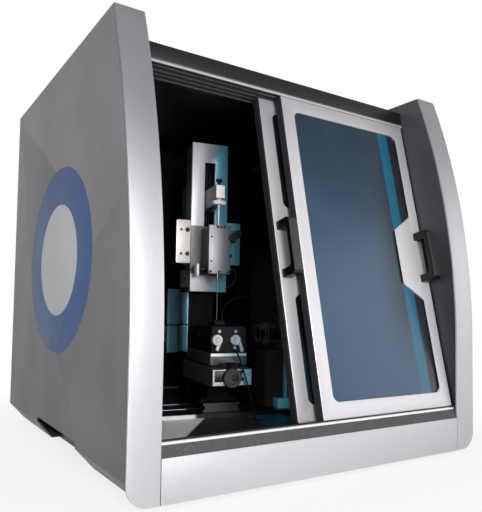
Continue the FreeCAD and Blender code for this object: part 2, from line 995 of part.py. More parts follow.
def way_section(grow, y):
    """The dovetail way between bed and table, grown by a gap."""
    low = bed_top - (overrun if grow else 0)
    high = bed_top + way_height + grow
    return [
        vector(-way_half_width - grow, y, low), vector(way_half_width + grow, y, low),
        vector(way_half_width + way_undercut + grow, y, high),
        vector(-way_half_width - way_undercut - grow, y, high),
    ]


def stage_bed():
    """The stage's bed: a trough for the screw, under a dovetail way."""
    body = block(-bed_half_width, bed_half_width, -bed_front, bed_back, bed_bottom, bed_top)
    way = prism(way_section(0, -bed_front), Y * (bed_front + bed_back))
    trough = block(
        -trough_half_width, trough_half_width, -bed_front - overrun, bed_back - bed_back_wall,
        bed_bottom + trough_floor, bed_top + way_height + overrun)
    bore = rod(
        screw_radius + screw_clearance, vector(-screw_side, 0, screw_height), Y, bed_back + overrun)
    return cut(fuse(body, way), trough, bore)


def stage_end_plate():
    """The bright plate across the bed's front end, with the screw's boss."""
    back = -bed_front
    front = back - end_plate_thickness
    plate = block(
        -end_plate_half_width, end_plate_half_width, front, back,
        end_plate_low, end_plate_low + end_plate_height)
    boss = block(
        -screw_side - boss_half_width, -screw_side + boss_half_width,
        front - boss_depth, front + end_plate_edge,
        screw_height - boss_height / 2, screw_height + boss_height / 2)
    bore = rod(
        screw_radius + screw_clearance,
        vector(-screw_side, front - boss_depth - overrun, screw_height), Y,
        end_plate_thickness + boss_depth + 2 * overrun)
    return cut(fuse(eased(plate, end_plate_edge), boss), bore)


def stage_handwheel():
    """The knurled wheel that moves the stage, one piece with its screw."""
    front = -handwheel_thickness
    profile = (
        (0, 0), (handwheel_radius - handwheel_bevel, 0), (handwheel_radius, -handwheel_bevel),
        (handwheel_radius, front + handwheel_bevel), (handwheel_radius - handwheel_bevel, front),
        (handwheel_dish_radius, front), (handwheel_dish_radius - handwheel_bevel, front + handwheel_dish),
        (0, front + handwheel_dish),
    )
    centre = vector(-screw_side, handwheel_back, screw_height)
    wheel = turned(profile, centre, Y)
    grips = []
    for i in range(handwheel_grips):
        angle = 2 * math.pi * i / handwheel_grips
        place = vector(math.cos(angle), 0, math.sin(angle)) * (handwheel_radius + handwheel_grip_stand)
        grips.append(rod(handwheel_grip_radius, centre + place - Y * (handwheel_thickness + overrun), Y,
                         handwheel_thickness + 2 * overrun))
    length = bed_back - screw_end_gap - handwheel_back
    return fuse(cut(wheel, *grips), rod(screw_radius, centre, Y, length))


def stage_table():
    """The sliding table, grooved for its way, with the screw's nut below."""
    plate = block(
        -table_half_width, table_half_width, -table_front, table_back, table_bottom, table_top)
    plate = eased(plate, table_edge)
    way = prism(way_section(way_gap, -table_front - overrun), Y * (table_front + table_back + 2 * overrun))
    nut = block(
        -trough_half_width + nut_gap, trough_half_width - nut_gap, nut_place - nut_length / 2,
        nut_place + nut_length / 2, bed_bottom + trough_floor + nut_gap,
        bed_top + way_height + way_gap + overrun)
    bore = rod(
        screw_radius + screw_clearance,
        vector(-screw_side, nut_place - nut_length / 2 - overrun, screw_height), Y,
        nut_length + 2 * overrun)
    return cut(fuse(cut(plate, way), nut), bore)


def cell_housing():
    """The heated block round the cell, with a sight bore across it and a gland for its cable."""
    body = eased(block(
        -cell_half_width, cell_half_width, -table_front, cell_back, table_top, cell_top), cell_edge)
    gland = probe_route[0]
    nose = rod(probe_radius + gland_wall, vector(gland[0], gland[1], gland[2]), Y, gland_length + cell_edge)
    sight = rod(bore_radius, vector(-cell_half_width - overrun, 0, axis_height), X,
                2 * cell_half_width + 2 * overrun)
    chamber = block(
        -chamber_half_x, chamber_half_x, -chamber_half_y, chamber_half_y,
        table_top + chamber_floor_height, cell_top + overrun)
    return cut(fuse(body, nose), sight, chamber)


def glass_cell():
    """The open glass cuvette that the drop hangs in."""
    low = table_top + chamber_floor_height
    half_x, half_y = chamber_half_x - cuvette_gap, chamber_half_y - cuvette_gap
    outer = block(-half_x, half_x, -half_y, half_y, low, low + cuvette_height)
    inner = block(
        -half_x + cuvette_wall, half_x - cuvette_wall, -half_y + cuvette_wall, half_y - cuvette_wall,
        low + cuvette_wall, low + cuvette_height + overrun)
    return cut(outer, inner)


def cell_cap():
    """The cap over the cell, slotted for the needle, with a gland for its cable."""
    body = eased(block(
        -cap_half_width, cap_half_width, -cap_half_depth, cap_half_depth, cell_top, cap_top), cap_edge)
    slot = block(
        -cap_slot_half_width, cap_slot_half_width, -cap_slot_front, cap_slot_back,
        cell_top - overrun, cap_top + overrun)
    end = arc_route[0]
    nose = rod(arc_radius + gland_wall, vector(end[0], end[1], cap_top - cap_edge), Z,
               end[2] - cap_top + cap_edge)
    return fuse(cut(body, slot), nose)


def cell_fittings():
    """Two hose fittings on the cell's face, each a disc with a ringed barb that hangs from its side."""
    fittings = []
    for place, turn in zip(fitting_places, barb_turns):
        base = vector(place, -table_front, fitting_height)
        depth = fitting_neck + fitting_depth
        profile = (
            (0, 0), (fitting_neck_radius, 0), (fitting_neck_radius, -fitting_neck),
            (fitting_radius - fitting_rim, -fitting_neck), (fitting_radius, -fitting_neck - fitting_rim),
            (fitting_radius, -depth + fitting_rim), (fitting_radius - fitting_rim, -depth), (0, -depth),
        )
        angle = math.radians(turn)
        down = vector(-math.sin(angle), 0, -math.cos(angle))
        top = base + vector(barb_offset, -fitting_neck - fitting_depth / 2, 0)
        rings = [(0, 0), (barb_radius, 0)]
        for ring in range(barb_rings, 0, -1):
            start = barb_length - (2 * ring - 1) * barb_ring_length
            rings.append((barb_radius, start))
            rings.append((barb_radius + barb_ring, start))
            rings.append((barb_radius, start + barb_ring_length))
        rings.append((0, barb_length))
        disc = turned(profile, base, Y).rotated(base, Y, half_turn)
        fittings.append(fuse(disc, turned(rings, top, down)))
    return Part.makeCompound(fittings)


def dovetail_section(grow, z):
    """The column's dovetail in plan, grown by a gap."""
    front = column_front - dovetail_depth - grow
    back = column_front + (overrun if grow else 0)
    return [
        vector(-dovetail_half_width - grow, back, z), vector(dovetail_half_width + grow, back, z),
        vector(dovetail_half_width + dovetail_undercut + grow, front, z),
        vector(-dovetail_half_width - dovetail_undercut - grow, front, z),
    ]


def column():
    """The upright column, grooved down its sides, with a dovetail for the head."""
    body = block(
        -column_half_width, column_half_width, column_front, column_back, base_top, column_top)
    middle = (column_front + column_back) / 2
    grooves = []
    for inner in (-column_half_width - overrun, column_half_width - column_groove_depth):
        grooves.append(block(
            inner, inner + column_groove_depth + overrun, middle - column_groove / 2,
            middle + column_groove / 2, base_top - overrun, column_top + overrun))
    way = prism(dovetail_section(0, dovetail_low), Z * (column_top - dovetail_low))
    return fuse(cut(body, *grooves), way)


def head_bracket():
    """The bracket round the drive's housing: two ears, and a pad that slides on the column."""
    inner = plate_half_width + bracket_gap
    outer = inner + bracket_wall
    pieces = []
    for side in (1, -1):
        ear = [
            vector(side * inner, plate_front, ear_low), vector(side * ear_half_width, plate_front, ear_low),
            vector(side * ear_half_width, plate_front, ear_high), vector(side * inner, plate_front, ear_high),
        ]
        pieces.append(prism(ear, Y * ear_thickness, [0, ear_corner, ear_corner, 0]))
        x0, x1 = sorted((side * inner, side * outer))
        pieces.append(block(x0, x1, plate_front, housing_back + bracket_wall, ear_low, ear_high))
    pieces.append(block(-outer, outer, housing_back, housing_back + bracket_wall, ear_low, ear_high))
    pieces.append(block(
        -pad_half_width, pad_half_width, housing_back, column_front - dovetail_gap, ear_low, ear_high))
    groove_tool = prism(
        dovetail_section(dovetail_gap, ear_low - overrun), Z * (ear_height + 2 * overrun))
    return cut(fuse(*pieces), groove_tool)


def drive_plate():
    """The long front plate of the drive, slotted for the pusher."""
    plate = eased(block(
        -plate_half_width, plate_half_width, plate_front, housing_front, plate_low, plate_high), plate_edge)
    slot = block(
        -head_slot_half_width, head_slot_half_width, plate_front - overrun, housing_front + overrun,
        head_slot_low, head_slot_high)
    return cut(plate, slot)


def drive_housing():
    """The housing behind the drive plate, with two screw bearings and the connector box on its left."""
    body = rounded(block(
        -plate_half_width, plate_half_width, housing_front, housing_back, housing_low, housing_high),
        housing_corner, X)
    inner = plate_half_width - housing_wall
    hollow = block(
        -inner, inner, housing_front - overrun, housing_back - housing_wall,
        housing_low + housing_wall, housing_high - housing_wall)
    shell = cut(body, hollow)
    bridges = [
        block(-inner, inner, housing_front + pusher_gap, housing_back - housing_wall, low,
              low + bearing_thickness)
        for low in (bearing_low, bearing_high)
    ]
    connector = block(
        -plate_half_width - connector_width, -plate_half_width, housing_front + connector_setback,
        housing_front + connector_setback + connector_depth, connector_low, connector_high)
    gland = lead_route[-1]
    front = housing_front + connector_setback
    nose = rod(lead_radius + gland_wall, vector(*gland), Y, front - gland[1])
    bore = rod(drive_screw_radius + screw_clearance, vector(0, drive_axis_y, bearing_low - overrun), Z,
               bearing_high - bearing_low + bearing_thickness + 2 * overrun)
    return cut(fuse(shell, connector, nose, *bridges), bore)


def drive_motor():
    """The motor in the foot of the housing."""
    body = block(
        -motor_half_width, motor_half_width, drive_axis_y - motor_half_depth,
        drive_axis_y + motor_half_depth, motor_top - motor_height, motor_top)
    return rounded(body, motor_corner, Z)


def drive_screw():
    """The drive's screw with its coupling on the motor."""
    profile = (
        (0, coupling_gap), (coupling_radius, coupling_gap), (coupling_radius, coupling_height),
        (drive_screw_radius, coupling_height),
        (drive_screw_radius, bearing_high + bearing_thickness - motor_top),
        (0, bearing_high + bearing_thickness - motor_top),
    )
    return turned(profile, vector(0, drive_axis_y, motor_top), Z)


def syringe_holder():
    """The block that holds the syringe, with its side port, hose barb and the clamp's lug."""
    body = block(
        -holder_half_width, holder_half_width, -holder_front, plate_front, holder_low, holder_high)
    body = rounded(body, holder_edge, Z)
    lug = [
        vector(holder_half_width - holder_edge, -holder_front + holder_edge, lug_low),
        vector(lug_right, -holder_front + holder_edge, lug_low),
        vector(lug_right, -holder_front + holder_edge, lug_high),
        vector(holder_half_width - holder_edge, -holder_front + holder_edge, lug_high),
    ]
    port = rod(side_port_radius, vector(-side_port_place_x, side_port_place_y, side_port_low), Z,
               side_port_height)
    stub = rod(side_stub_radius, vector(-side_port_place_x, side_port_place_y, side_stub_height), X,
               side_port_place_x - holder_half_width + holder_edge)
    lead_end = lead_route[0]
    nose = rod(lead_radius + gland_wall, vector(lead_end[0], lead_end[1], lead_end[2]), X,
               -side_port_place_x - lead_end[0])
    barb_end = hose_route[0]
    barb = rod(hose_barb_radius, vector(barb_end[0], barb_end[1], barb_end[2]), -X, hose_barb_length)
    bore = rod(barrel_radius + barrel_clearance, vector(0, 0, holder_low - overrun), Z,
               holder_height + 2 * overrun)
    stud = rod(knob_stud_radius + knob_clearance,
               vector(knob_place_x, -holder_front, knob_place_z), Y, knob_stud_length + holder_edge)
    solid = fuse(body, prism(lug, Y * lug_depth, [0, lug_corner, lug_corner, 0]), port, stub, nose, barb)
    return cut(solid, bore, stud)


def holder_front_plate():
    """The plate that closes the syringe holder's front."""
    return eased(block(
        -front_plate_half_width, front_plate_half_width, -front_plate_front, -holder_front,
        front_plate_low, front_plate_high), front_plate_edge)


def syringe_barrel():
    """The syringe's glass barrel."""
    profile = (
        (barrel_bore, 0), (barrel_radius, 0), (barrel_radius, holder_height + barrel_stand),
        (barrel_bore, holder_height + barrel_stand),
    )
    return turned(profile, vector(0, 0, holder_low), Z)


def needle():
    """The needle and its hub, on the syringe's lower end."""
    profile = (
        (0, 0), (hub_radius, 0), (hub_radius, -hub_flange_height),
        (hub_neck_radius, -hub_flange_height), (hub_tip_radius, -hub_height),
        (needle_radius, -hub_height), (needle_radius, needle_tip - holder_low), (0, needle_tip - holder_low),
    )
    return turned(profile, vector(0, 0, holder_low), Z)


def pusher_block():
    """The pusher: a stepped block, a neck through the plate's slot, and the nut on the drive's screw."""
    back = plate_front - pusher_gap
    step_z = pusher_low + pusher_step
    step_y = -pusher_front + pusher_step_depth
    side = [
        vector(-pusher_half_width, -pusher_front, step_z), vector(-pusher_half_width, step_y, step_z),
        vector(-pusher_half_width, step_y, pusher_low), vector(-pusher_half_width, back, pusher_low),
        vector(-pusher_half_width, back, pusher_high), vector(-pusher_half_width, -pusher_front, pusher_high),
    ]
    body = eased(prism(side, X * 2 * pusher_half_width), pusher_edge)
    neck = block(
        -pusher_half_width + pusher_edge, pusher_half_width - pusher_edge, back - pusher_edge, drive_axis_y,
        pusher_low + pusher_edge, pusher_high - pusher_edge)
    nut = block(
        -drive_nut_half_width, drive_nut_half_width, drive_axis_y - drive_nut_half_depth,
        drive_axis_y + drive_nut_half_depth, pusher_low, pusher_high - pusher_edge)
    bore = rod(drive_screw_radius + screw_clearance, vector(0, drive_axis_y, pusher_low - overrun), Z,
               pusher_height + 2 * overrun)
    pilot = rod(thumb_pilot_radius + thumb_clearance, vector(0, 0, pusher_high - thumb_pilot - thumb_gap), Z,
                thumb_pilot + thumb_gap + overrun)
    return cut(fuse(body, neck, nut), bore, pilot)


def plunger():
    """The syringe's plunger, its button held in the pusher's clamp jaws."""
    top = pusher_low + pusher_step
    stem = rod(plunger_radius, vector(0, 0, plunger_low), Z, top - plunger_low)
    button = rod(plunger_button_radius, vector(0, 0, top - plunger_button_height), Z, plunger_button_height)
    jaws = eased(block(
        -clamp_half_width, clamp_half_width, -clamp_half_depth, clamp_half_depth,
        top - plunger_button_height - clamp_height, top - plunger_button_height), clamp_edge)
    return fuse(stem, button, jaws)


def thumb_screw():
    """The black screw on top of the pusher."""
    stem_top = thumb_gap + thumb_stem_height
    head_top = stem_top + thumb_head_height
    profile = (
        (0, -thumb_pilot), (thumb_pilot_radius, -thumb_pilot), (thumb_pilot_radius, thumb_gap),
        (thumb_stem_radius, thumb_gap), (thumb_stem_radius, stem_top),
        (thumb_head_radius - thumb_edge, stem_top), (thumb_head_radius, stem_top + thumb_edge),
        (thumb_head_radius, head_top - thumb_edge), (thumb_head_radius - thumb_edge, head_top), (0, head_top),
    )
    return turned(profile, vector(0, 0, pusher_high), Z)


def clamp_knob():
    """The winged knob on the holder's lug."""
    back = -holder_front + holder_edge - knob_gap
    centre = vector(knob_place_x, back, knob_place_z)
    profile = (
        (0, 0), (knob_hub_radius, 0), (knob_hub_radius, -knob_hub_depth + knob_crown),
        (knob_hub_radius - knob_crown, -knob_hub_depth), (0, -knob_hub_depth),
    )
    pieces = [turned(profile, centre, Y), rod(knob_stud_radius, centre, Y, knob_stud_length)]
    turn = math.radians(knob_wing_turn)
    way = vector(math.cos(turn), 0, math.sin(turn))
    side = way.cross(Y)
    for sense in (1, -1):
        tip = centre + way * (sense * knob_wing_reach) - Y * knob_hub_depth
        pieces.append(rod(knob_wing_radius, tip, Y, knob_wing_depth))
        root = centre - Y * knob_hub_depth
        web = [
            root + side * knob_wing_radius, root - side * knob_wing_radius,
            tip - side * knob_wing_radius, tip + side * knob_wing_radius,
        ]
        pieces.append(prism(web, Y * knob_wing_depth))
    return fuse(*pieces)


def slide_section(grow, x):
    """The camera's dovetail slide, grown by a gap."""
    low = stand_top - (overrun if grow else 0)
    high = stand_top + slide_height + grow
    return [
        vector(x, -slide_half_width - grow, low), vector(x, slide_half_width + grow, low),
        vector(x, slide_half_width + slide_undercut + grow, high),
        vector(x, -slide_half_width - slide_undercut - grow, high),
    ]


def camera_stand():
    """The camera's post, with a foot, a top table and the slide."""
    foot = block(stand_left, stand_foot_right, -stand_half_depth, stand_half_depth, base_top,
                 base_top + stand_plate)
    post = block(stand_left, stand_right, -stand_half_depth, stand_half_depth, base_top, stand_top)
    table = block(stand_left, stand_table_right, -stand_half_depth, stand_half_depth,
                  stand_top - stand_plate, stand_top)
    way = prism(slide_section(0, stand_right), X * (stand_table_right - stand_right))
    return fuse(rounded(fuse(foot, post, table), stand_edge, X), way)


def camera_blades():
    """The bright shoe in front of the camera's post, with two thin upright blades."""
    top = base_top + shoe_height
    shoe = block(shoe_left, shoe_right, -shoe_front, -stand_half_depth, base_top, top)
    blades = [
        block(place, place + blade_thickness, -blade_front, -blade_back, top - overrun, top + height)
        for place, height in zip(blade_places, blade_heights)
    ]
    return fuse(shoe, *blades)


def camera_body():
    """The camera's housing on its slide."""
    low = stand_top + slide_gap
    body = eased(block(
        camera_left, camera_left + camera_length, -camera_half_depth, camera_half_depth,
        low, low + camera_height), camera_edge)
    groove_tool = prism(
        slide_section(slide_gap, camera_left - overrun), X * (camera_length + 2 * overrun))
    return cut(body, groove_tool)


def camera_lens():
    """The camera's lens, turned, with its ring and the recessed glass."""
    ring_end = lens_ring_place + lens_ring_width
    bevel = lens_ring_radius - lens_radius
    nose = lens_length - lens_nose_length
    profile = (
        (0, 0), (lens_radius, 0), (lens_radius, lens_ring_place - bevel), (lens_ring_radius, lens_ring_place),
        (lens_ring_radius, ring_end), (lens_radius, ring_end + bevel), (lens_radius, nose - bevel),
        (lens_nose_radius, nose), (lens_nose_radius, lens_length), (lens_glass_radius, lens_length),
        (lens_glass_radius, lens_length - lens_recess), (0, lens_length - lens_recess),
    )
    return turned(profile, vector(camera_left, 0, axis_height), -X)


def light_source():
    """The lamp across from the camera, on its own post."""
    left = -light_right - light_length
    body = eased(block(
        left, -light_right, -light_half_depth, light_half_depth,
        axis_height - light_half_height, axis_height + light_half_height), light_edge)
    profile = (
        (0, 0), (light_tube_radius, 0), (light_tube_radius, light_tube_length),
        (light_window_radius, light_tube_length),
        (light_window_radius, light_tube_length - light_window_depth),
        (0, light_tube_length - light_window_depth),
    )
    tube = turned(profile, vector(-light_right, 0, axis_height), X)
    middle = left + light_length / 2
    post = block(
        middle - light_post_half_width, middle + light_post_half_width, -light_post_half_width,
        light_post_half_width, base_top, axis_height - light_half_height + light_edge)
    foot = block(
        left, -light_right, -light_half_depth, light_half_depth, base_top, base_top + stand_plate)
    return fuse(body, tube, post, foot)


def cord(name, route, radius):
    """A cord's free stretch: straight runs joined by tangent arcs."""
    points = [vector(*point) for point in route]
    ends = [(points[0], None, points[0])]
    radii = []
    for before, point, after in zip(points, points[1:], points[2:]):
        into, out = before - point, after - point
        shorter = min(into.Length, out.Length)
        into, out = into.normalize(), out.normalize()
        turn = math.pi - into.getAngle(out)
        reach = bend_share * shorter
        bend = reach / math.tan(turn / 2)
        middle = (into + out).normalize() * (bend / math.cos(turn / 2) - bend)
        ends.append((point + into * reach, point + middle, point + out * reach))
        radii.append(bend)
    ends.append((points[-1], None, points[-1]))
    edges = []
    for i, (start, middle, end) in enumerate(ends):
        if middle is not None:
            edges.append(Part.Arc(start, middle, end).toShape())
        if i < len(ends) - 1:
            edges.append(Part.LineSegment(end, ends[i + 1][0]).toShape())
    path = Part.Wire(edges)
    direction = points[1] - points[0]
    circle = Part.Wire([Part.Circle(points[0], direction, radius).toShape()])
    tube = path.makePipeShell([circle], True, False)
    ideal = math.pi * radius ** 2 * path.Length
    print(f"{name}: length {path.Length:.1f}, least radius {min(radii):.1f} "
          f"({min(radii) / radius / 2:.1f} diameters), volume {tube.Volume / ideal:.4f} of the ideal")
    print(f"{name}: radii", [round(bend, 1) for bend in radii])
    return tube


door_right = inner_half - door_side_gap - door_width
door_left = door_right - door_overlap_shift
pieces = {
    "base_tray": base_tray(),
    "chamber_floor": chamber_floor(),
    "right_side_panel": side_panel(),
    "left_side_panel": mirrored(side_panel()),
    "side_liners": Part.makeCompound([liner(), mirrored(liner())]),
    "right_front_trim": front_trim(),
    "left_front_trim": mirrored(front_trim()),
    "front_fascia": front_fascia(),
    "sill_strip": sill_strip(),
    "lower_track": lower_track(),
    "upper_track": upper_track(),
    "header_beam": header_beam(),
    "roof_panel": roof_panel(),
    "rear_panel": rear_panel(),
    "rear_cover_plates": rear_cover_plates(),
    "power_inlet": power_inlet(),
    "power_supply": power_supply(),
    "rubber_feet": rubber_feet(),
    "right_door_frame": door_frame(door_right, 0, 1),
    "right_door_window": door_window(door_right, 0, 1),
    "right_door_seal": door_seal(door_right, 0),
    "right_door_handle": door_handle(door_right + door_width - handle_inset, 0),
    "left_door_frame": door_frame(door_left, door_pitch, -1),
    "left_door_window": door_window(door_left, door_pitch, -1),
    "left_door_seal": door_seal(door_left, door_pitch),
    "left_door_handle": door_handle(door_left + handle_inset, door_pitch),
}
bench = {
    "bench_base": bench_base(),
    "bench_rail": bench_rail(),
    "stage_carrier": stage_carrier(),
    "stage_bed": stage_bed(),
    "stage_end_plate": stage_end_plate(),
    "stage_handwheel": stage_handwheel(),
    "stage_table": stage_table(),
    "cell_housing": cell_housing(),
    "cell_cap": cell_cap(),
    "glass_cell": glass_cell(),
    "cell_fittings": cell_fittings(),
    "column": column(),
    "head_bracket": head_bracket(),
    "drive_plate": drive_plate(),
    "drive_housing": drive_housing(),
    "drive_motor": drive_motor(),
    "drive_screw": drive_screw(),
    "syringe_holder": syringe_holder(),
    "holder_front_plate": holder_front_plate(),
    "syringe_barrel": syringe_barrel(),
    "needle": needle(),
    "pusher_block": pusher_block(),
    "plunger": plunger(),
    "thumb_screw": thumb_screw(),
    "clamp_knob": clamp_knob(),
    "camera_stand": camera_stand(),
    "camera_blades": camera_blades(),
    "camera_body": camera_body(),
    "camera_lens": camera_lens(),
    "light_source": light_source(),
    "probe_cable": cord("probe_cable", probe_route, probe_radius),
    "cap_cable": cord("cap_cable", arc_route, arc_radius),
    "sensor_lead": cord("sensor_lead", lead_route, lead_radius),
    "loop_hose": cord("loop_hose", hose_route, hose_radius),
}
for node, shape in bench.items():
    pieces[node] = on_bench(shape)
for node, shape in pieces.items():
    placed = shape.translated(vector(0, -overall_depth / 2, foot_height))
    placed.exportStep("parts/" + node + ".step")
print(len(pieces), "nodes")
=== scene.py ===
"""The looks of a bench tensiometer: finishes, fasteners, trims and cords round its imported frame."""
import json
import logging
import math
from contextlib import contextmanager
from dataclasses import dataclass, field
from enum import Enum
from typing import Callable, Iterator, Sequence

import bmesh
import bpy
from mathutils import Matrix, Vector


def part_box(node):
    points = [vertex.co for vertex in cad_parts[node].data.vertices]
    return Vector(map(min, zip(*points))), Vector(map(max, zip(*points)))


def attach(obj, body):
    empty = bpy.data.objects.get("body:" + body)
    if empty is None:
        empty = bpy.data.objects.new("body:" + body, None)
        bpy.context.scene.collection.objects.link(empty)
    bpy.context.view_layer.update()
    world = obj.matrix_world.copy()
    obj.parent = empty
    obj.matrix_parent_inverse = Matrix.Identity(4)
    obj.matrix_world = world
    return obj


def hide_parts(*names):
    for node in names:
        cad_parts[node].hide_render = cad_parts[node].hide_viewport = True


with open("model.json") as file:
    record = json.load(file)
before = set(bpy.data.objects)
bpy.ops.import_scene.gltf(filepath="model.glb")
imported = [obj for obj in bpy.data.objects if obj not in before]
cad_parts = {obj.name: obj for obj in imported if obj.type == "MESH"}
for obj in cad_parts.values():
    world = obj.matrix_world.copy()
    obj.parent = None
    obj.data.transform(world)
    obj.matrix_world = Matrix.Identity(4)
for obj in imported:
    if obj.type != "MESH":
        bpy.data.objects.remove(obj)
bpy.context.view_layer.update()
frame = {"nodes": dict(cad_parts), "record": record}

log = logging.getLogger("tensiometer")

Triple = tuple[float, float, float]
Test = Callable[[Vector, Vector], bool]

HAIR = 0.00005
CLOSE = 0.0002

LEFT, RIGHT = (-1.0, 0.0, 0.0), (1.0, 0.0, 0.0)
FRONT, BACK = (0.0, -1.0, 0.0), (0.0, 1.0, 0.0)
DOWN, UP = (0.0, 0.0, -1.0), (0.0, 0.0, 1.0)
BLACK = (0.0, 0.0, 0.0, 1.0)
WHITE = (1.0, 1.0, 1.0, 1.0)


def linear(red: float, green: float, blue: float) -> tuple[float, float, float, float]:
    """A colour as a shader takes it, from the 0 to 255 values that a screen shows.

    Args:
        red: The red value.
        green: The green value.
        blue: The blue value.

    Returns:
        The linear colour with full opacity.
    """
    shares = [value / 255 for value in (red, green, blue)]
    out = [s / 12.92 if s <= 0.04045 else ((s + 0.055) / 1.055) ** 2.4 for s in shares]
    return out[0], out[1], out[2], 1.0


# Places

@dataclass(frozen=True)
class BenchPlace:
    """The bench's own axes: x across and y back from the needle, z up from the cabinet's lower edge."""

    turn: float = math.radians(11.0)
    lift: float = 0.005

    def needle(self) -> Vector:
        """Where the needle's axis stands in plan."""
        low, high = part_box("needle")
        return Vector(((low.x + high.x) / 2, (low.y + high.y) / 2, 0.0))

    def matrix(self) -> Matrix:
        """The move from the bench's axes to the frame."""
        moved = Matrix.Translation(self.needle() + Vector((0.0, 0.0, self.lift)))
        return moved @ Matrix.Rotation(-self.turn, 4, "Z")

    def across(self) -> Vector:
        """The bench's x axis in the frame."""
        return Vector((math.cos(self.turn), -math.sin(self.turn), 0.0))

    def back(self) -> Vector:
        """The bench's y axis in the frame."""
        return Vector((math.sin(self.turn), math.cos(self.turn), 0.0))

    def point(self, place: Sequence[float]) -> Vector:
        """A place on the bench, in the frame."""
        return self.matrix() @ Vector(place)


@dataclass(frozen=True)
class DoorPlane:
    """The doors' leaned plane, on the outer face of the right door."""

    lean: float = math.radians(12.7)

    def corner(self) -> Vector:
        """The foot of that face."""
        low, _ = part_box("right_door_frame")
        return Vector((0.0, low.y, low.z))

    def inward(self) -> Vector:
        """The way into the cabinet, square to the doors."""
        return Vector((0.0, math.cos(self.lean), -math.sin(self.lean)))


BENCH = BenchPlace()
DOORS = DoorPlane()
UPRIGHT = Matrix.Identity(4)


def facing(centre: Sequence[float], axis: Sequence[float]) -> Matrix:
    """The move that takes a piece modelled along +Z to its place."""
    turn = Vector(axis).to_track_quat("Z", "Y").to_matrix().to_4x4()
    return Matrix.Translation(Vector(centre)) @ turn


# Modelling by hand

def clear_selection() -> None:
    """Leaves edit mode and deselects everything."""
    if bpy.context.mode != "OBJECT":
        bpy.ops.object.mode_set(mode="OBJECT")
    bpy.ops.object.select_all(action="DESELECT")


def choose(*objects: bpy.types.Object) -> None:
    """Selects objects, with the first one active.

    Args:
        objects: What to select.
    """
    clear_selection()
    for obj in objects:
        obj.select_set(True)
    bpy.context.view_layer.objects.active = objects[0]


@contextmanager
def editing(obj: bpy.types.Object, kind: str = "FACE") -> Iterator[None]:
    """Edit mode on one object.

    Args:
        obj: The object to edit.
        kind: VERT, EDGE or FACE, what is selected there.

    Yields:
        Nothing.
    """
    choose(obj)
    bpy.ops.object.mode_set(mode="EDIT")
    bpy.ops.mesh.select_mode(type=kind)
    try:
        yield
    finally:
        bpy.ops.object.mode_set(mode="OBJECT")


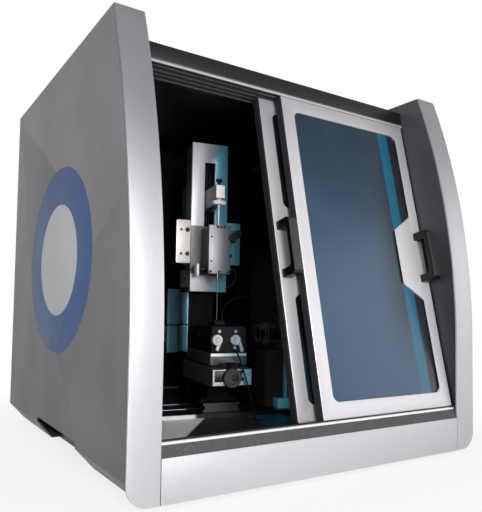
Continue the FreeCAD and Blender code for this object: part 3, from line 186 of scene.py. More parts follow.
class Workpiece:
    """One piece in the making: a primitive, shaped in edit mode, finished and then settled."""

    def __init__(self, obj: bpy.types.Object, name: str) -> None:
        """Takes an object just added.

        Args:
            obj: The object.
            name: The piece's name.
        """
        self.obj = obj
        obj.name = name
        obj.data.name = name

    @classmethod
    def block(cls, name: str, low: Sequence[float], high: Sequence[float]) -> "Workpiece":
        """A block between two corners.

        Args:
            name: The piece's name.
            low: Its lowest corner.
            high: Its highest corner.

        Returns:
            The new piece.
        """
        clear_selection()
        first, last = Vector(low), Vector(high)
        bpy.ops.mesh.primitive_cube_add(size=1, location=(first + last) / 2, scale=last - first)
        bpy.ops.object.transform_apply(location=True, rotation=True, scale=True)
        return cls(bpy.context.object, name)

    @classmethod
    def from_node(cls, name: str, node: str) -> "Workpiece":
        """A copy of a node's mesh, with its corners merged and its flat faces whole.

        Args:
            name: The piece's name.
            node: The frame's node that it copies.

        Returns:
            The new piece.
        """
        clear_selection()
        obj = bpy.data.objects.new(name, frame["nodes"][node].data.copy())
        bpy.context.scene.collection.objects.link(obj)
        piece = cls(obj, name)
        with editing(obj, "VERT"):
            bpy.ops.mesh.select_all(action="SELECT")
            bpy.ops.mesh.remove_doubles(threshold=0.00001)
            bpy.ops.mesh.dissolve_limited(angle_limit=math.radians(0.6))
        return piece

    @classmethod
    def lathed(cls, name: str, steps: Sequence[tuple[float, float]], sides: int = 48) -> "Workpiece":
        """A turned piece along +Z, extruded and scaled from ring to ring.

        Args:
            name: The piece's name.
            steps: A (radius, height) pair for each ring, from the first face to the last.
            sides: How many sides it has.

        Returns:
            The new piece.
        """
        clear_selection()
        radius, height = steps[0]
        bpy.ops.mesh.primitive_circle_add(
            vertices=sides, radius=radius, fill_type="NGON", location=(0, 0, height))
        bpy.ops.object.transform_apply(location=True, rotation=True, scale=True)
        piece = cls(bpy.context.object, name)
        with editing(piece.obj):
            bpy.ops.mesh.select_all(action="SELECT")
            for wider, higher in steps[1:]:
                bpy.ops.mesh.extrude_region_move(
                    TRANSFORM_OT_translate={"value": (0, 0, higher - height)})
                scale = wider / radius
                bpy.ops.transform.resize(value=(scale, scale, 1), center_override=(0, 0, higher))
                radius, height = wider, higher
            bpy.ops.mesh.select_all(action="SELECT")
            bpy.ops.mesh.normals_make_consistent(inside=False)
        return piece

    def pick(self, kind: str, test: Test) -> None:
        """Selects parts of the mesh in edit mode.

        Args:
            kind: EDGE or FACE.
            test: Takes a part's middle and its normal, or an edge's direction, and says if it is wanted.
        """
        bpy.ops.mesh.select_mode(type=kind)
        bpy.ops.mesh.select_all(action="DESELECT")
        mesh = bmesh.from_edit_mesh(self.obj.data)
        if kind == "FACE":
            for face in mesh.faces:
                face.select_set(test(face.calc_center_median(), face.normal))
        else:
            for edge in mesh.edges:
                first, last = edge.verts[0].co, edge.verts[1].co
                edge.select_set(test((first + last) / 2, (last - first).normalized()))
        bmesh.update_edit_mesh(self.obj.data)

    def bevel(self, test: Test, width: float, segments: int = 2) -> "Workpiece":
        """Rounds the edges that a test picks.

        Args:
            test: The test on an edge's middle and direction.
            width: The bevel's width.
            segments: How many steps it has.

        Returns:
            The same piece.
        """
        with editing(self.obj, "EDGE"):
            self.pick("EDGE", test)
            bpy.ops.mesh.bevel(offset=width, segments=segments, affect="EDGES")
        return self

    def inset(self, test: Test, width: float, depth: float) -> "Workpiece":
        """Sinks or raises the middle of the faces that a test picks.

        Args:
            test: The test on a face's middle and normal.
            width: The rim left round each face.
            depth: How far the middle rises, or sinks below zero.

        Returns:
            The same piece.
        """
        with editing(self.obj):
            self.pick("FACE", test)
            bpy.ops.mesh.inset(thickness=width, depth=0)
            bpy.ops.mesh.inset(thickness=0, depth=depth)
        return self

    def push(self, test: Test, move: Triple) -> "Workpiece":
        """Extrudes the faces that a test picks.

        Args:
            test: The test on a face's middle and normal.
            move: How far they move.

        Returns:
            The same piece.
        """
        with editing(self.obj):
            self.pick("FACE", test)
            bpy.ops.mesh.extrude_region_move(TRANSFORM_OT_translate={"value": move})
        return self

    def modify(self, kind: str, **settings: object) -> "Workpiece":
        """Adds a modifier and applies it.

        Args:
            kind: The modifier's type.
            settings: Its settings.

        Returns:
            The same piece.
        """
        choose(self.obj)
        modifier = self.obj.modifiers.new(kind.title(), kind)
        for key, value in settings.items():
            setattr(modifier, key, value)
        bpy.ops.object.modifier_apply(modifier=modifier.name)
        return self

    def soften(self, width: float, segments: int = 2) -> "Workpiece":
        """Rounds every sharp edge."""
        return self.modify("BEVEL", width=width, segments=segments, limit_method="ANGLE")

    def less(self, tool: "Workpiece") -> "Workpiece":
        """Cuts another piece out of this one and removes that piece.

        Args:
            tool: What is cut out.

        Returns:
            The same piece.
        """
        self.modify("BOOLEAN", operation="DIFFERENCE", object=tool.obj, solver="EXACT")
        bpy.data.objects.remove(tool.obj)
        return self

    def moved(self, matrix: Matrix) -> "Workpiece":
        """Moves the mesh itself."""
        self.obj.data.transform(matrix)
        return self

    def joined(self, *others: "Workpiece") -> "Workpiece":
        """Takes other pieces into this one.

        Args:
            others: The pieces that it takes in.

        Returns:
            The same piece.
        """
        choose(self.obj, *(other.obj for other in others))
        bpy.ops.object.join()
        return self

    def copies(self, places: Sequence[Matrix]) -> "Workpiece":
        """Repeats the piece, one copy at each place, all in one object.

        Args:
            places: The move of each copy.

        Returns:
            The joined piece.
        """
        made = []
        for place in places:
            twin = self.obj.copy()
            twin.data = self.obj.data.copy()
            bpy.context.scene.collection.objects.link(twin)
            twin.data.transform(place)
            made.append(twin)
        name = self.obj.name
        bpy.data.objects.remove(self.obj)
        choose(*made)
        if len(made) > 1:
            bpy.ops.object.join()
        self.obj = made[0]
        self.obj.name = name
        return self

    def paint(
        self, material: bpy.types.Material, other: bpy.types.Material, test: Test,
    ) -> "Workpiece":
        """Gives the piece two materials.

        Args:
            material: The material of most of it.
            other: The material of the faces that the test picks.
            test: The test on a face's middle and normal.

        Returns:
            The same piece.
        """
        mesh = self.obj.data
        mesh.materials.append(material)
        mesh.materials.append(other)
        for face in mesh.polygons:
            face.material_index = int(test(face.center, face.normal))
        return self

    def settle(
        self, body: str, material: bpy.types.Material | None, slot: str = "",
        replaces: Sequence[str] = (),
        angle: float = math.radians(32),
    ) -> bpy.types.Object:
        """Finishes the piece and puts it on its body.

        Args:
            body: The body that it rides on.
            material: Its material, or nothing where it is painted already.
            slot: The record's slot that its finish comes from; not used.
            replaces: The frame's nodes that it stands for.
            angle: Edges flatter than this are shaded smooth.

        Returns:
            The finished object.
        """
        choose(self.obj)
        bpy.ops.object.shade_smooth_by_angle(angle=angle)
        if material:
            self.obj.data.materials.clear()
            self.obj.data.materials.append(material)
        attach(self.obj, body)
        if replaces:
            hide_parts(*replaces)
        log.info("%s rides on %s", self.obj.name, body)
        return self.obj


def axis_is(axis: Triple, tolerance: float = 0.01) -> Test:
    """A test for faces or edges that point along an axis."""
    wanted = Vector(axis).normalized()
    return lambda middle, normal: normal.dot(wanted) > 1 - tolerance


# Shader groups

class Sheet:
    """A short way to add and join the nodes of one shader tree."""

    def __init__(self, tree: bpy.types.NodeTree) -> None:
        """Starts on a tree."""
        self.tree = tree

    def feed(self, socket: bpy.types.NodeSocket, value: object) -> None:
        """Joins another node's socket to an input, or sets its value.

        Args:
            socket: The input.
            value: The other socket or the value.
        """
        if isinstance(value, bpy.types.NodeSocket):
            self.tree.links.new(value, socket)
        else:
            socket.default_value = value

    def add(self, kind: str, inputs: dict | None = None, **settings: object) -> bpy.types.Node:
        """Adds a node.

        Args:
            kind: Its type, without the ShaderNode in front.
            inputs: A value or another node's socket for each named or numbered input.
            settings: Its other settings.

        Returns:
            The node.
        """
        node = self.tree.nodes.new("ShaderNode" + kind)
        for key, value in settings.items():
            setattr(node, key, value)
        for key, value in (inputs or {}).items():
            self.feed(node.inputs[key], value)
        return node

    def math(self, operation: str, first: object, second: object = 0.0) -> bpy.types.NodeSocket:
        """A sum of two values or sockets."""
        return self.add("Math", {0: first, 1: second}, operation=operation).outputs[0]

    def blend(self, mask: object, first: object, second: object) -> bpy.types.NodeSocket:
        """A mix of two colours."""
        return self.add("Mix", {0: mask, 6: first, 7: second}, data_type="RGBA").outputs[2]

    def tinted(
        self, colour: object, mask: bpy.types.NodeSocket, amount: float, other: object,
    ) -> bpy.types.NodeSocket:
        """A colour with a little of another one let in through a mask."""
        return self.blend(self.math("MULTIPLY", mask, amount), colour, other)

    def span(self, value: object, low: float, high: float, start: float, end: float,
             smooth: bool = False) -> bpy.types.NodeSocket:
        """A value carried from one range to another.

        Args:
            value: The value's socket.
            low: The first range's start.
            high: The first range's end.
            start: What the first start becomes.
            end: What the first end becomes.
            smooth: Whether it eases in and out.

        Returns:
            The new value's socket.
        """
        kind = "SMOOTHSTEP" if smooth else "LINEAR"
        ranges = {0: value, 1: low, 2: high, 3: start, 4: end}
        return self.add("MapRange", ranges, interpolation_type=kind).outputs[0]


class Effects:
    """Surface effects that several finishes share, each a shader group built once."""

    def __init__(self) -> None:
        """Starts with no groups."""
        self.groups: dict[str, bpy.types.NodeTree] = {}

    def begin(self, name: str, inputs: dict[str, str], outputs: Sequence[str]) -> tuple[Sheet, dict]:
        """Opens a new group.

        Args:
            name: The group's name.
            inputs: Each input's name with its socket type.
            outputs: The names of its outputs, which are all values.

        Returns:
            The sheet to draw it on, and its input sockets by name.
        """
        tree = bpy.data.node_groups.new(name, "ShaderNodeTree")
        for key, kind in inputs.items():
            tree.interface.new_socket(name=key, in_out="INPUT", socket_type="NodeSocket" + kind)
        for key in outputs:
            tree.interface.new_socket(name=key, in_out="OUTPUT", socket_type="NodeSocketFloat")
        self.groups[name] = tree
        start = tree.nodes.new("NodeGroupInput")
        return Sheet(tree), {key: start.outputs[key] for key in inputs}

    def close(self, sheet: Sheet, results: dict[str, bpy.types.NodeSocket]) -> None:
        """Joins a group's results to its outputs.

        Args:
            sheet: The group's sheet.
            results: The socket of each result by name.
        """
        end = sheet.tree.nodes.new("NodeGroupOutput")
        for key, socket in results.items():
            sheet.tree.links.new(socket, end.inputs[key])

    def build(self) -> None:
        """Builds every group."""
        self.powder_grain()
        self.brush_lines()
        self.hand_clouds()
        self.zone_mask()
        self.settled_dust()

    def powder_grain(self) -> None:
        """The fine pitted skin of a powder coat or moulded plastic."""
        sheet, given = self.begin(
            "powder_grain", {"Vector": "Vector", "Scale": "Float"}, ("Height", "Speck"))
        noise = sheet.add(
            "TexNoise", {"Vector": given["Vector"], "Scale": given["Scale"], "Detail": 2.0})
        cells = sheet.add("TexVoronoi", {"Vector": given["Vector"], "Scale": given["Scale"]})
        height = sheet.math("ADD", noise.outputs[0], sheet.math("MULTIPLY", cells.outputs[0], 0.4))
        speck = sheet.span(noise.outputs[0], 0.56, 0.70, 0.0, 1.0)
        self.close(sheet, {"Height": height, "Speck": speck})

    def brush_lines(self) -> None:
        """The long fine lines of brushed metal, drawn out along the vector's x."""
        sheet, given = self.begin(
            "brush_lines", {"Vector": "Vector", "Scale": "Float", "Stretch": "Float"},
            ("Line", "Height"))
        parts = sheet.add("SeparateXYZ", {0: given["Vector"]})
        drawn = sheet.math("DIVIDE", parts.outputs[0], given["Stretch"])
        joined = sheet.add("CombineXYZ", {0: drawn, 1: parts.outputs[1], 2: parts.outputs[2]})
        fine = sheet.add(
            "TexNoise", {"Vector": joined.outputs[0], "Scale": given["Scale"], "Detail": 3.0})
        coarse = sheet.add(
            "TexNoise",
            {"Vector": joined.outputs[0], "Scale": sheet.math("MULTIPLY", given["Scale"], 0.18)})
        total = sheet.math("ADD", sheet.math("MULTIPLY", fine.outputs[0], 0.65),
                           sheet.math("MULTIPLY", coarse.outputs[0], 0.35))
        line = sheet.span(total, 0.35, 0.65, 0.0, 1.0)
        self.close(sheet, {"Line": line, "Height": total})

    def hand_clouds(self) -> None:
        """The large soft clouds that handling and wiping leave on a finish."""
        sheet, given = self.begin("hand_clouds", {"Vector": "Vector", "Scale": "Float"}, ("Cloud",))
        noise = sheet.add(
            "TexNoise", {"Vector": given["Vector"], "Scale": given["Scale"], "Detail": 4.0,
                         "Roughness": 0.55})
        self.close(sheet, {"Cloud": sheet.span(noise.outputs[0], 0.3, 0.7, 0.0, 1.0, smooth=True)})

    def zone_mask(self) -> None:
        """How far a vector reaches along a direction, eased from 0 to 1 and back to 0 past the stop."""
        sheet, given = self.begin(
            "zone_mask", {"Vector": "Vector", "Origin": "Vector", "Along": "Vector", "Start": "Float",
                          "End": "Float", "Stop": "Float"}, ("Mask",))
        moved = sheet.add(
            "VectorMath", {0: given["Vector"], 1: given["Origin"]}, operation="SUBTRACT")
        reach = sheet.add(
            "VectorMath", {0: moved.outputs[0], 1: given["Along"]}, operation="DOT_PRODUCT")
        node = sheet.add(
            "MapRange", {0: reach.outputs["Value"], 1: given["Start"], 2: given["End"]},
            interpolation_type="SMOOTHSTEP")
        before = sheet.math("LESS_THAN", reach.outputs["Value"], given["Stop"])
        self.close(sheet, {"Mask": sheet.math("MULTIPLY", node.outputs[0], before)})

    def settled_dust(self) -> None:
        """The faint dust that lies on faces which look up."""
        sheet, given = self.begin("settled_dust", {"Vector": "Vector", "Normal": "Vector"}, ("Dust",))
        up = sheet.add("SeparateXYZ", {0: given["Normal"]})
        flat = sheet.span(up.outputs[2], 0.7, 1.0, 0.0, 1.0)
        noise = sheet.add("TexNoise", {"Vector": given["Vector"], "Scale": 60.0, "Detail": 5.0})
        patches = sheet.span(noise.outputs[0], 0.35, 0.75, 0.0, 1.0)
        self.close(sheet, {"Dust": sheet.math("MULTIPLY", flat, patches)})


EFFECTS = Effects()


class Reads(Enum):
    """What a zone measures."""

    PLACE = "place"
    NORMAL = "normal"


@dataclass(frozen=True)
class Zone:
    """Where a surface takes another tone, eased in along a direction."""

    tone: Triple
    along: Sequence[float]
    start: float
    end: float
    origin: Sequence[float] = (0.0, 0.0, 0.0)
    reads: Reads = Reads.PLACE
    stop: float = 100.0


def beyond(tone: Triple, start: float, end: float) -> Zone:
    """The part of the bench from one x on, such as what lies behind the tinted doors; most zones made
    with it paint the teal light and shade that fall through those doors.
    """
    return Zone(tone, BENCH.across(), start, end, BENCH.needle())


def flank_shading(tone: Triple) -> Zone:
    """Painted light and shade: another tone on the faces that look away from the bench's front."""
    return Zone(tone, BENCH.back(), -0.92, -0.80, reads=Reads.NORMAL)


def from_height(tone: Triple, start: float, end: float, stop: float = 100.0) -> Zone:
    """The part above a height, or below it where the start is higher than the end."""
    return Zone(tone, UP, start, end, stop=stop)


def underside_shade(tone: Triple) -> Zone:
    """Painted shade on the faces that look down."""
    return Zone(tone, DOWN, 0.5, 0.8, reads=Reads.NORMAL)


def shut_in_shade(tone: Triple, start: float = 0.010, end: float = 0.024) -> Zone:
    """Painted shade on what lies behind the doors' plane."""
    return Zone(tone, DOORS.inward(), start, end, DOORS.corner())


class Painter:
    """What every finish starts with: a material, its sheet, its shader and its coordinates."""

    def __init__(self, name: str) -> None:
        """Opens a new material.

        Args:
            name: The material's name.
        """
        self.material = bpy.data.materials.new(name)
        self.material.use_nodes = True
        self.sheet = Sheet(self.material.node_tree)
        self.shader = self.material.node_tree.nodes["Principled BSDF"]
        self.place = self.sheet.add("TexCoord").outputs["Object"]
        self.normal = self.sheet.add("NewGeometry").outputs["Normal"]

    def effect(self, name: str, **inputs: object) -> bpy.types.Node:
        """Places a shared group in this material."""
        return self.sheet.add("Group", inputs, node_tree=EFFECTS.groups[name])

    def zoned(self, colour: object, zones: Sequence[Zone]) -> object:
        """Lays the tones of zones over a colour, one after the other.

        Args:
            colour: The first colour or socket.
            zones: The zones.

        Returns:
            The last colour's socket.
        """
        for zone in zones:
            vector = self.place if zone.reads is Reads.PLACE else self.normal
            mask = self.effect(
                "zone_mask", Vector=vector, Origin=tuple(zone.origin), Along=tuple(zone.along),
                Start=zone.start, End=zone.end, Stop=zone.stop).outputs["Mask"]
            colour = self.sheet.blend(mask, colour, linear(*zone.tone))
        return colour

    def set(self, **values: object) -> None:
        """Sets the shader's own inputs."""
        for key, value in values.items():
            self.sheet.feed(self.shader.inputs[key.replace("_", " ")], value)

    def bump(self, height: bpy.types.NodeSocket, depth: float) -> None:
        """Gives the surface a relief of a depth in metres."""
        node = self.sheet.add("Bump", {"Height": height, "Distance": depth, "Strength": 1.0})
        self.set(Normal=node.outputs[0])


@dataclass(frozen=True)
class Coat:
    """A painted, powder coated or moulded surface."""

    name: str
    colour: Triple
    zones: tuple[Zone, ...] = ()
    roughness: float = 0.45
    metallic: float = 0.0
    grain: float = 1500.0
    relief: float = 0.00002
    clouds: float = 0.06
    specks: float = 0.0
    speck_colour: Triple = (150, 150, 152)
    dust: float = 0.04
    dust_colour: Triple = (190, 188, 184)
    specular: float = 0.5

    def build(self) -> bpy.types.Material:
        """Makes the material.

        Returns:
            The finished material.
        """
        paint = Painter(self.name)
        sheet = paint.sheet
        grain = paint.effect("powder_grain", Vector=paint.place, Scale=self.grain)
        cloud = paint.effect("hand_clouds", Vector=paint.place, Scale=9.0).outputs["Cloud"]
        dust = paint.effect("settled_dust", Vector=paint.place, Normal=paint.normal).outputs["Dust"]
        colour = paint.zoned(linear(*self.colour), self.zones)
        colour = sheet.tinted(colour, cloud, self.clouds, BLACK)
        if self.specks:
            colour = sheet.tinted(
                colour, grain.outputs["Speck"], self.specks, linear(*self.speck_colour))
        colour = sheet.tinted(colour, dust, self.dust, linear(*self.dust_colour))
        rough = sheet.span(cloud, 0.0, 1.0, self.roughness - 0.03, self.roughness + 0.04)
        paint.set(
            Base_Color=colour, Roughness=rough, Metallic=self.metallic,
            Specular_IOR_Level=self.specular)
        paint.bump(grain.outputs["Height"], self.relief)
        return paint.material


class Grainway(Enum):
    """Which way a brushed finish runs."""

    ACROSS = (0.0, 0.0, 0.0)
    UP = (0.0, math.pi / 2, 0.0)


@dataclass(frozen=True)
class Brushed:
    """Brushed or anodised metal, with other tones where its surroundings show in it: painted
    reflections, light and shade.
    """

    name: str
    colour: Triple
    zones: tuple[Zone, ...] = ()
    roughness: float = 0.38
    metallic: float = 0.35
    grainway: Grainway = Grainway.ACROSS
    contrast: float = 0.08
    stretch: float = 60.0
    relief: float = 0.000004
    specular: float = 0.4

    def build(self) -> bpy.types.Material:
        """Makes the material.

        Returns:
            The finished material.
        """
        paint = Painter(self.name)
        sheet = paint.sheet
        turned = sheet.add(
            "Mapping", {"Vector": paint.place, "Rotation": self.grainway.value})
        lines = paint.effect(
            "brush_lines", Vector=turned.outputs[0], Scale=2600.0, Stretch=self.stretch)
        cloud = paint.effect("hand_clouds", Vector=paint.place, Scale=14.0).outputs["Cloud"]
        colour = paint.zoned(linear(*self.colour), self.zones)
        colour = sheet.tinted(colour, lines.outputs["Line"], self.contrast, BLACK)
        spread = sheet.math("MULTIPLY", lines.outputs["Line"], 0.10)
        rough = sheet.math("ADD", spread, sheet.span(cloud, 0, 1, self.roughness - 0.06, self.roughness))
        paint.set(
            Base_Color=colour, Roughness=rough, Metallic=self.metallic,
            Specular_IOR_Level=self.specular)
        paint.bump(lines.outputs["Height"], self.relief)
        return paint.material


@dataclass(frozen=True)
class Turned:
    """Turned or polished metal with fine tool rings."""

    name: str
    colour: Triple
    zones: tuple[Zone, ...] = ()
    roughness: float = 0.2
    metallic: float = 1.0
    rings: float = 3200.0

    def build(self) -> bpy.types.Material:
        """Makes the material.

        Returns:
            The finished material.
        """
        paint = Painter(self.name)
        sheet = paint.sheet
        cloud = paint.effect("hand_clouds", Vector=paint.place, Scale=40.0).outputs["Cloud"]
        lines = paint.effect("brush_lines", Vector=paint.place, Scale=self.rings, Stretch=12.0)
        colour = paint.zoned(linear(*self.colour), self.zones)
        colour = sheet.tinted(colour, lines.outputs["Line"], 0.06, BLACK)
        rough = sheet.span(cloud, 0.0, 1.0, self.roughness * 0.8, self.roughness * 1.2)
        paint.set(Base_Color=colour, Roughness=rough, Metallic=self.metallic)
        paint.bump(lines.outputs["Height"], 0.000002)
        return paint.material


@dataclass(frozen=True)
class Pane:
    """Clear or tinted glass or acrylic."""

    name: str
    tint: Triple
    zones: tuple[Zone, ...] = ()
    clear: float = 1.0
    roughness: float = 0.03
    ior: float = 1.49
    specular: float = 0.5

    def build(self) -> bpy.types.Material:
        """Makes the material.

        Returns:
            The finished material.
        """
        paint = Painter(self.name)
        cloud = paint.effect("hand_clouds", Vector=paint.place, Scale=11.0).outputs["Cloud"]
        rough = paint.sheet.span(cloud, 0.0, 1.0, self.roughness, self.roughness * 1.6)
        colour = paint.zoned(linear(*self.tint), self.zones)
        colour = paint.sheet.tinted(colour, cloud, 0.03, linear(150, 160, 168))
        paint.set(
            Base_Color=colour, Roughness=rough, Metallic=0.0, Specular_IOR_Level=self.specular,
            Transmission_Weight=self.clear, IOR=self.ior)
        return paint.material


Finish = Coat | Brushed | Turned | Pane


MATT = {"relief": 0.00001, "dust": 0.0}
LONG_BRUSH = {"grainway": Grainway.UP, "contrast": 0.05, "stretch": 20.0}
MOULDED = {"relief": 0.00002, "grain": 2600}


class Finishes:
    """Every finish of the instrument, built once and kept by name."""

    def __init__(self) -> None:
        """Builds the shared effects and then each material."""
        EFFECTS.build()
        kinds = (*self.cabinet(), *self.doors(), *self.bench(), *self.head(), *self.fittings())
        self.made = {kind.name: kind.build() for kind in kinds}
        log.info("%d finishes built", len(self.made))

    def __getitem__(self, name: str) -> bpy.types.Material:
        """A finish by its name."""
        return self.made[name]

    def cabinet(self) -> tuple[Finish, ...]:
        """The finishes of the cabinet's outside and of its dark inside.

        Returns:
            The finishes, not yet built.
        """
        black = (15, 13, 16)
        low_shade = (88, 86, 89)
        return (
            # The side panels darken towards the bottom: painted shade.
            Coat("side_paint", (114, 112, 116), (from_height(low_shade, 0.50, 0.02),),
                 roughness=0.5, relief=0.000012, clouds=0.03, dust=0.02, specular=0.35),
            # Painted shade: the liners go near black behind the doors and darker towards the bottom.
            Coat("liner_paint", (68, 66, 70), (shut_in_shade(black), from_height((52, 50, 54), 0.40, 0.30),
                                               from_height((30, 28, 31), 0.18, 0.08)),
                 roughness=0.42, dust=0.0, specular=0.35),
            # The front bands darken towards the top: painted shade.
            Brushed("left_band_silver", (182, 180, 185), (from_height((122, 120, 124), 0.24, 0.50),),
                    roughness=0.46, **LONG_BRUSH),
            Brushed("right_band_silver", (177, 175, 179), (from_height((140, 138, 142), 0.30, 0.55),),
                    roughness=0.46, **LONG_BRUSH),
            Brushed("fascia_silver", (180, 178, 183), roughness=0.46, contrast=0.05),
            # The header's and the roof's faces that look down take painted shade, near black.
            Coat("header_black", (23, 21, 24), (underside_shade(black),), roughness=0.4, dust=0.02,
                 specular=0.25),
            Coat("roof_paint", (100, 98, 102), (underside_shade(black),), roughness=0.48, dust=0.05),
            Coat("strip_rubber", (54, 52, 55), roughness=0.62, relief=0.00012, grain=1300,
                 specks=0.35, dust=0.0),
            # The rear panel is near black except on the face that looks back: painted shade inside the
            # cabinet.
            Coat("rear_paint", black,
                 (Zone((78, 76, 80), BACK, 0.5, 0.8, reads=Reads.NORMAL),),
                 roughness=0.55, relief=0.000012, clouds=0.03, dust=0.0, specular=0.15),
            Coat("tray_grey", (62, 60, 63), roughness=0.5, dust=0.0),
            Coat("ring_blue", (38, 70, 120), roughness=0.5, relief=0.000008, clouds=0.05,
                 specular=0.25),
            Coat("disc_pale", (168, 170, 173), roughness=0.45, relief=0.000006, clouds=0.03,
                 specular=0.3),
        )

    def doors(self) -> tuple[Finish, ...]:
        """The finishes of the doors and their tracks.

        Returns:
            The finishes, not yet built.
        """
        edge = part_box("right_door_window")[1].x
        lip = DOORS.corner()
        cut = Zone((17, 17, 20), LEFT, 0.75, 0.95, reads=Reads.NORMAL)
        # Painted shade: each track goes dark behind its front face, less dark on the upper track.
        tracks = [
            Brushed(name, tone, (Zone(dark, BACK, 0.0006, 0.0010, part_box(node)[0]),),
                    roughness=0.34, contrast=0.05)
            for name, node, tone, dark in (
                ("lower_track_silver", "lower_track", (208, 206, 209), (22, 21, 24)),
                ("upper_track_silver", "upper_track", (176, 174, 177), (86, 84, 88)))]
        return (
            *tracks,
            # The door frames darken towards the top: painted shade. The left door's frame is the same
            # silver, painted darker as shade.
            Brushed("door_silver", (190, 189, 192), (from_height((164, 162, 166), 0.40, 0.56), cut),
                    roughness=0.42, **LONG_BRUSH),
            Brushed("left_door_silver", (170, 169, 172),
                    (from_height((160, 158, 162), 0.40, 0.56), cut),
                    roughness=0.42, **LONG_BRUSH),
            # Painted reflections: darker towards the top and towards the right side, back to the plain
            # tint lower down, then a teal stripe and a dark stripe near the right edge.
            Pane("smoked_pane", (54, 78, 105),
                 (from_height((24, 46, 62), 0.22, 0.56),
                  Zone((36, 52, 64), RIGHT, edge - 0.110, edge - 0.048, lip),
                  from_height((54, 78, 105), 0.26, 0.12),
                  Zone((26, 98, 128), RIGHT, edge - 0.048, edge - 0.044, lip),
                  Zone((36, 36, 46), RIGHT, edge - 0.026, edge - 0.022, lip)),
                 clear=0.3, roughness=0.16, specular=0.2),
            Pane("shaded_pane", (44, 64, 86),
                 (from_height((22, 40, 54), 0.22, 0.56),
                  Zone((11, 11, 14), LEFT, 0.002, 0.010),
                  from_height((26, 40, 56), 0.22, 0.10)),
                 clear=0.3, roughness=0.16, specular=0.15),
            Coat("seal_rubber", (38, 37, 40),
                 (Zone((7, 7, 8), DOORS.inward(), -0.75, -0.9, reads=Reads.NORMAL),),
                 roughness=0.6, relief=0.00004, grain=2200, specular=0.15),
            # The faces that look out are lighter: a painted highlight.
            Coat("handle_black", (9, 8, 10),
                 (Zone((44, 43, 46), DOORS.inward(), -0.80, -0.93, reads=Reads.NORMAL),),
                 roughness=0.28, specular=0.35, **MOULDED),
        )

    def bench(self) -> tuple[Finish, ...]:
        """The finishes of the bench: its plates, its stage and its optics.

        Returns:
            The finishes, not yet built.
        """
        corner = BENCH.point((-0.037, -0.053, 0.0))
        slope = BENCH.across() * 0.875 - BENCH.back() * 0.483
        grey = (66, 66, 69)
        return (
            # The side faces are lighter than the front: painted light.
            Coat("bench_black", (12, 11, 13), (flank_shading((66, 66, 69)),), roughness=0.5, specular=0.1,
                 **MATT),
            Coat("carrier_black", (3, 3, 4), roughness=0.6, specular=0.05, **MATT),
            Coat("stand_brown", (34, 31, 32), roughness=0.5, **MATT),
            # Painted light and shade: teal to the right, where the light falls through the tinted doors,
            # and a flank tone without it. The face above 0.148 m is lighter.
            Brushed("table_grey", (66, 68, 71),
                    (beyond((46, 74, 84), 0.0, 0.030), from_height((160, 172, 178), 0.1476, 0.1482),
                     flank_shading(grey)), contrast=0.2),
            # Painted light and shade: teal to the right, darker flanks.
            Brushed("end_plate_silver", (186, 186, 190),
                    (beyond((88, 142, 158), 0.006, 0.024), flank_shading((60, 60, 64)))),
            # Painted light: the covers and the camera's blades take the bright teal light that falls
            # through the tinted doors; the blades' flanks are painted darker.
            Brushed("cover_teal", (160, 230, 250), grainway=Grainway.UP, contrast=0.06, metallic=0.0),
            Brushed("shoe_teal", (120, 226, 255), (flank_shading((90, 180, 210)),), metallic=0.0),
            # Painted light and shade: the near-white floor stands for a bright reflection, with a dark
            # wedge of painted shadow along the slope and a dark teal reflection to the right.
            Brushed("floor_metal", (246, 246, 248),
                    (Zone((42, 42, 45), slope, -0.001, 0.003, corner),
                     beyond((36, 90, 116), 0.034, 0.038)), roughness=0.4, metallic=0.0),
            # Painted highlight: the faces that look to the front are near white, except to the right,
            # which stays black.
            Coat("base_black", (20, 20, 22),
                 (Zone((200, 200, 202), BENCH.back(), -0.80, -0.92, reads=Reads.NORMAL),
                  beyond((20, 20, 22), -0.056, -0.048)),
                 roughness=0.36, metallic=0.3, dust=0.0),
            # Painted shade: darker to the right and on the flanks.
            Brushed("rail_grey", (60, 61, 64), (beyond((30, 31, 34), -0.02, 0.02),
                                                flank_shading((16, 16, 18))), contrast=0.2),
            Coat("column_black", (5, 5, 6), roughness=0.6, specular=0.05, **MATT),
            Turned("lens_coating", (30, 34, 60), roughness=0.06),
            Coat("lamp_white", (226, 228, 230), roughness=0.5, relief=0.0, dust=0.0),
            # The flanks of the cell and the handwheel are darker: painted shade.
            Coat("cell_black", (10, 9, 12), (flank_shading((7, 7, 8)),), roughness=0.5, specular=0.12,
                 **MATT),
            Coat("wheel_black", (44, 42, 46), (flank_shading((22, 22, 24)),), roughness=0.45, specular=0.3,
                 **MOULDED),
        )

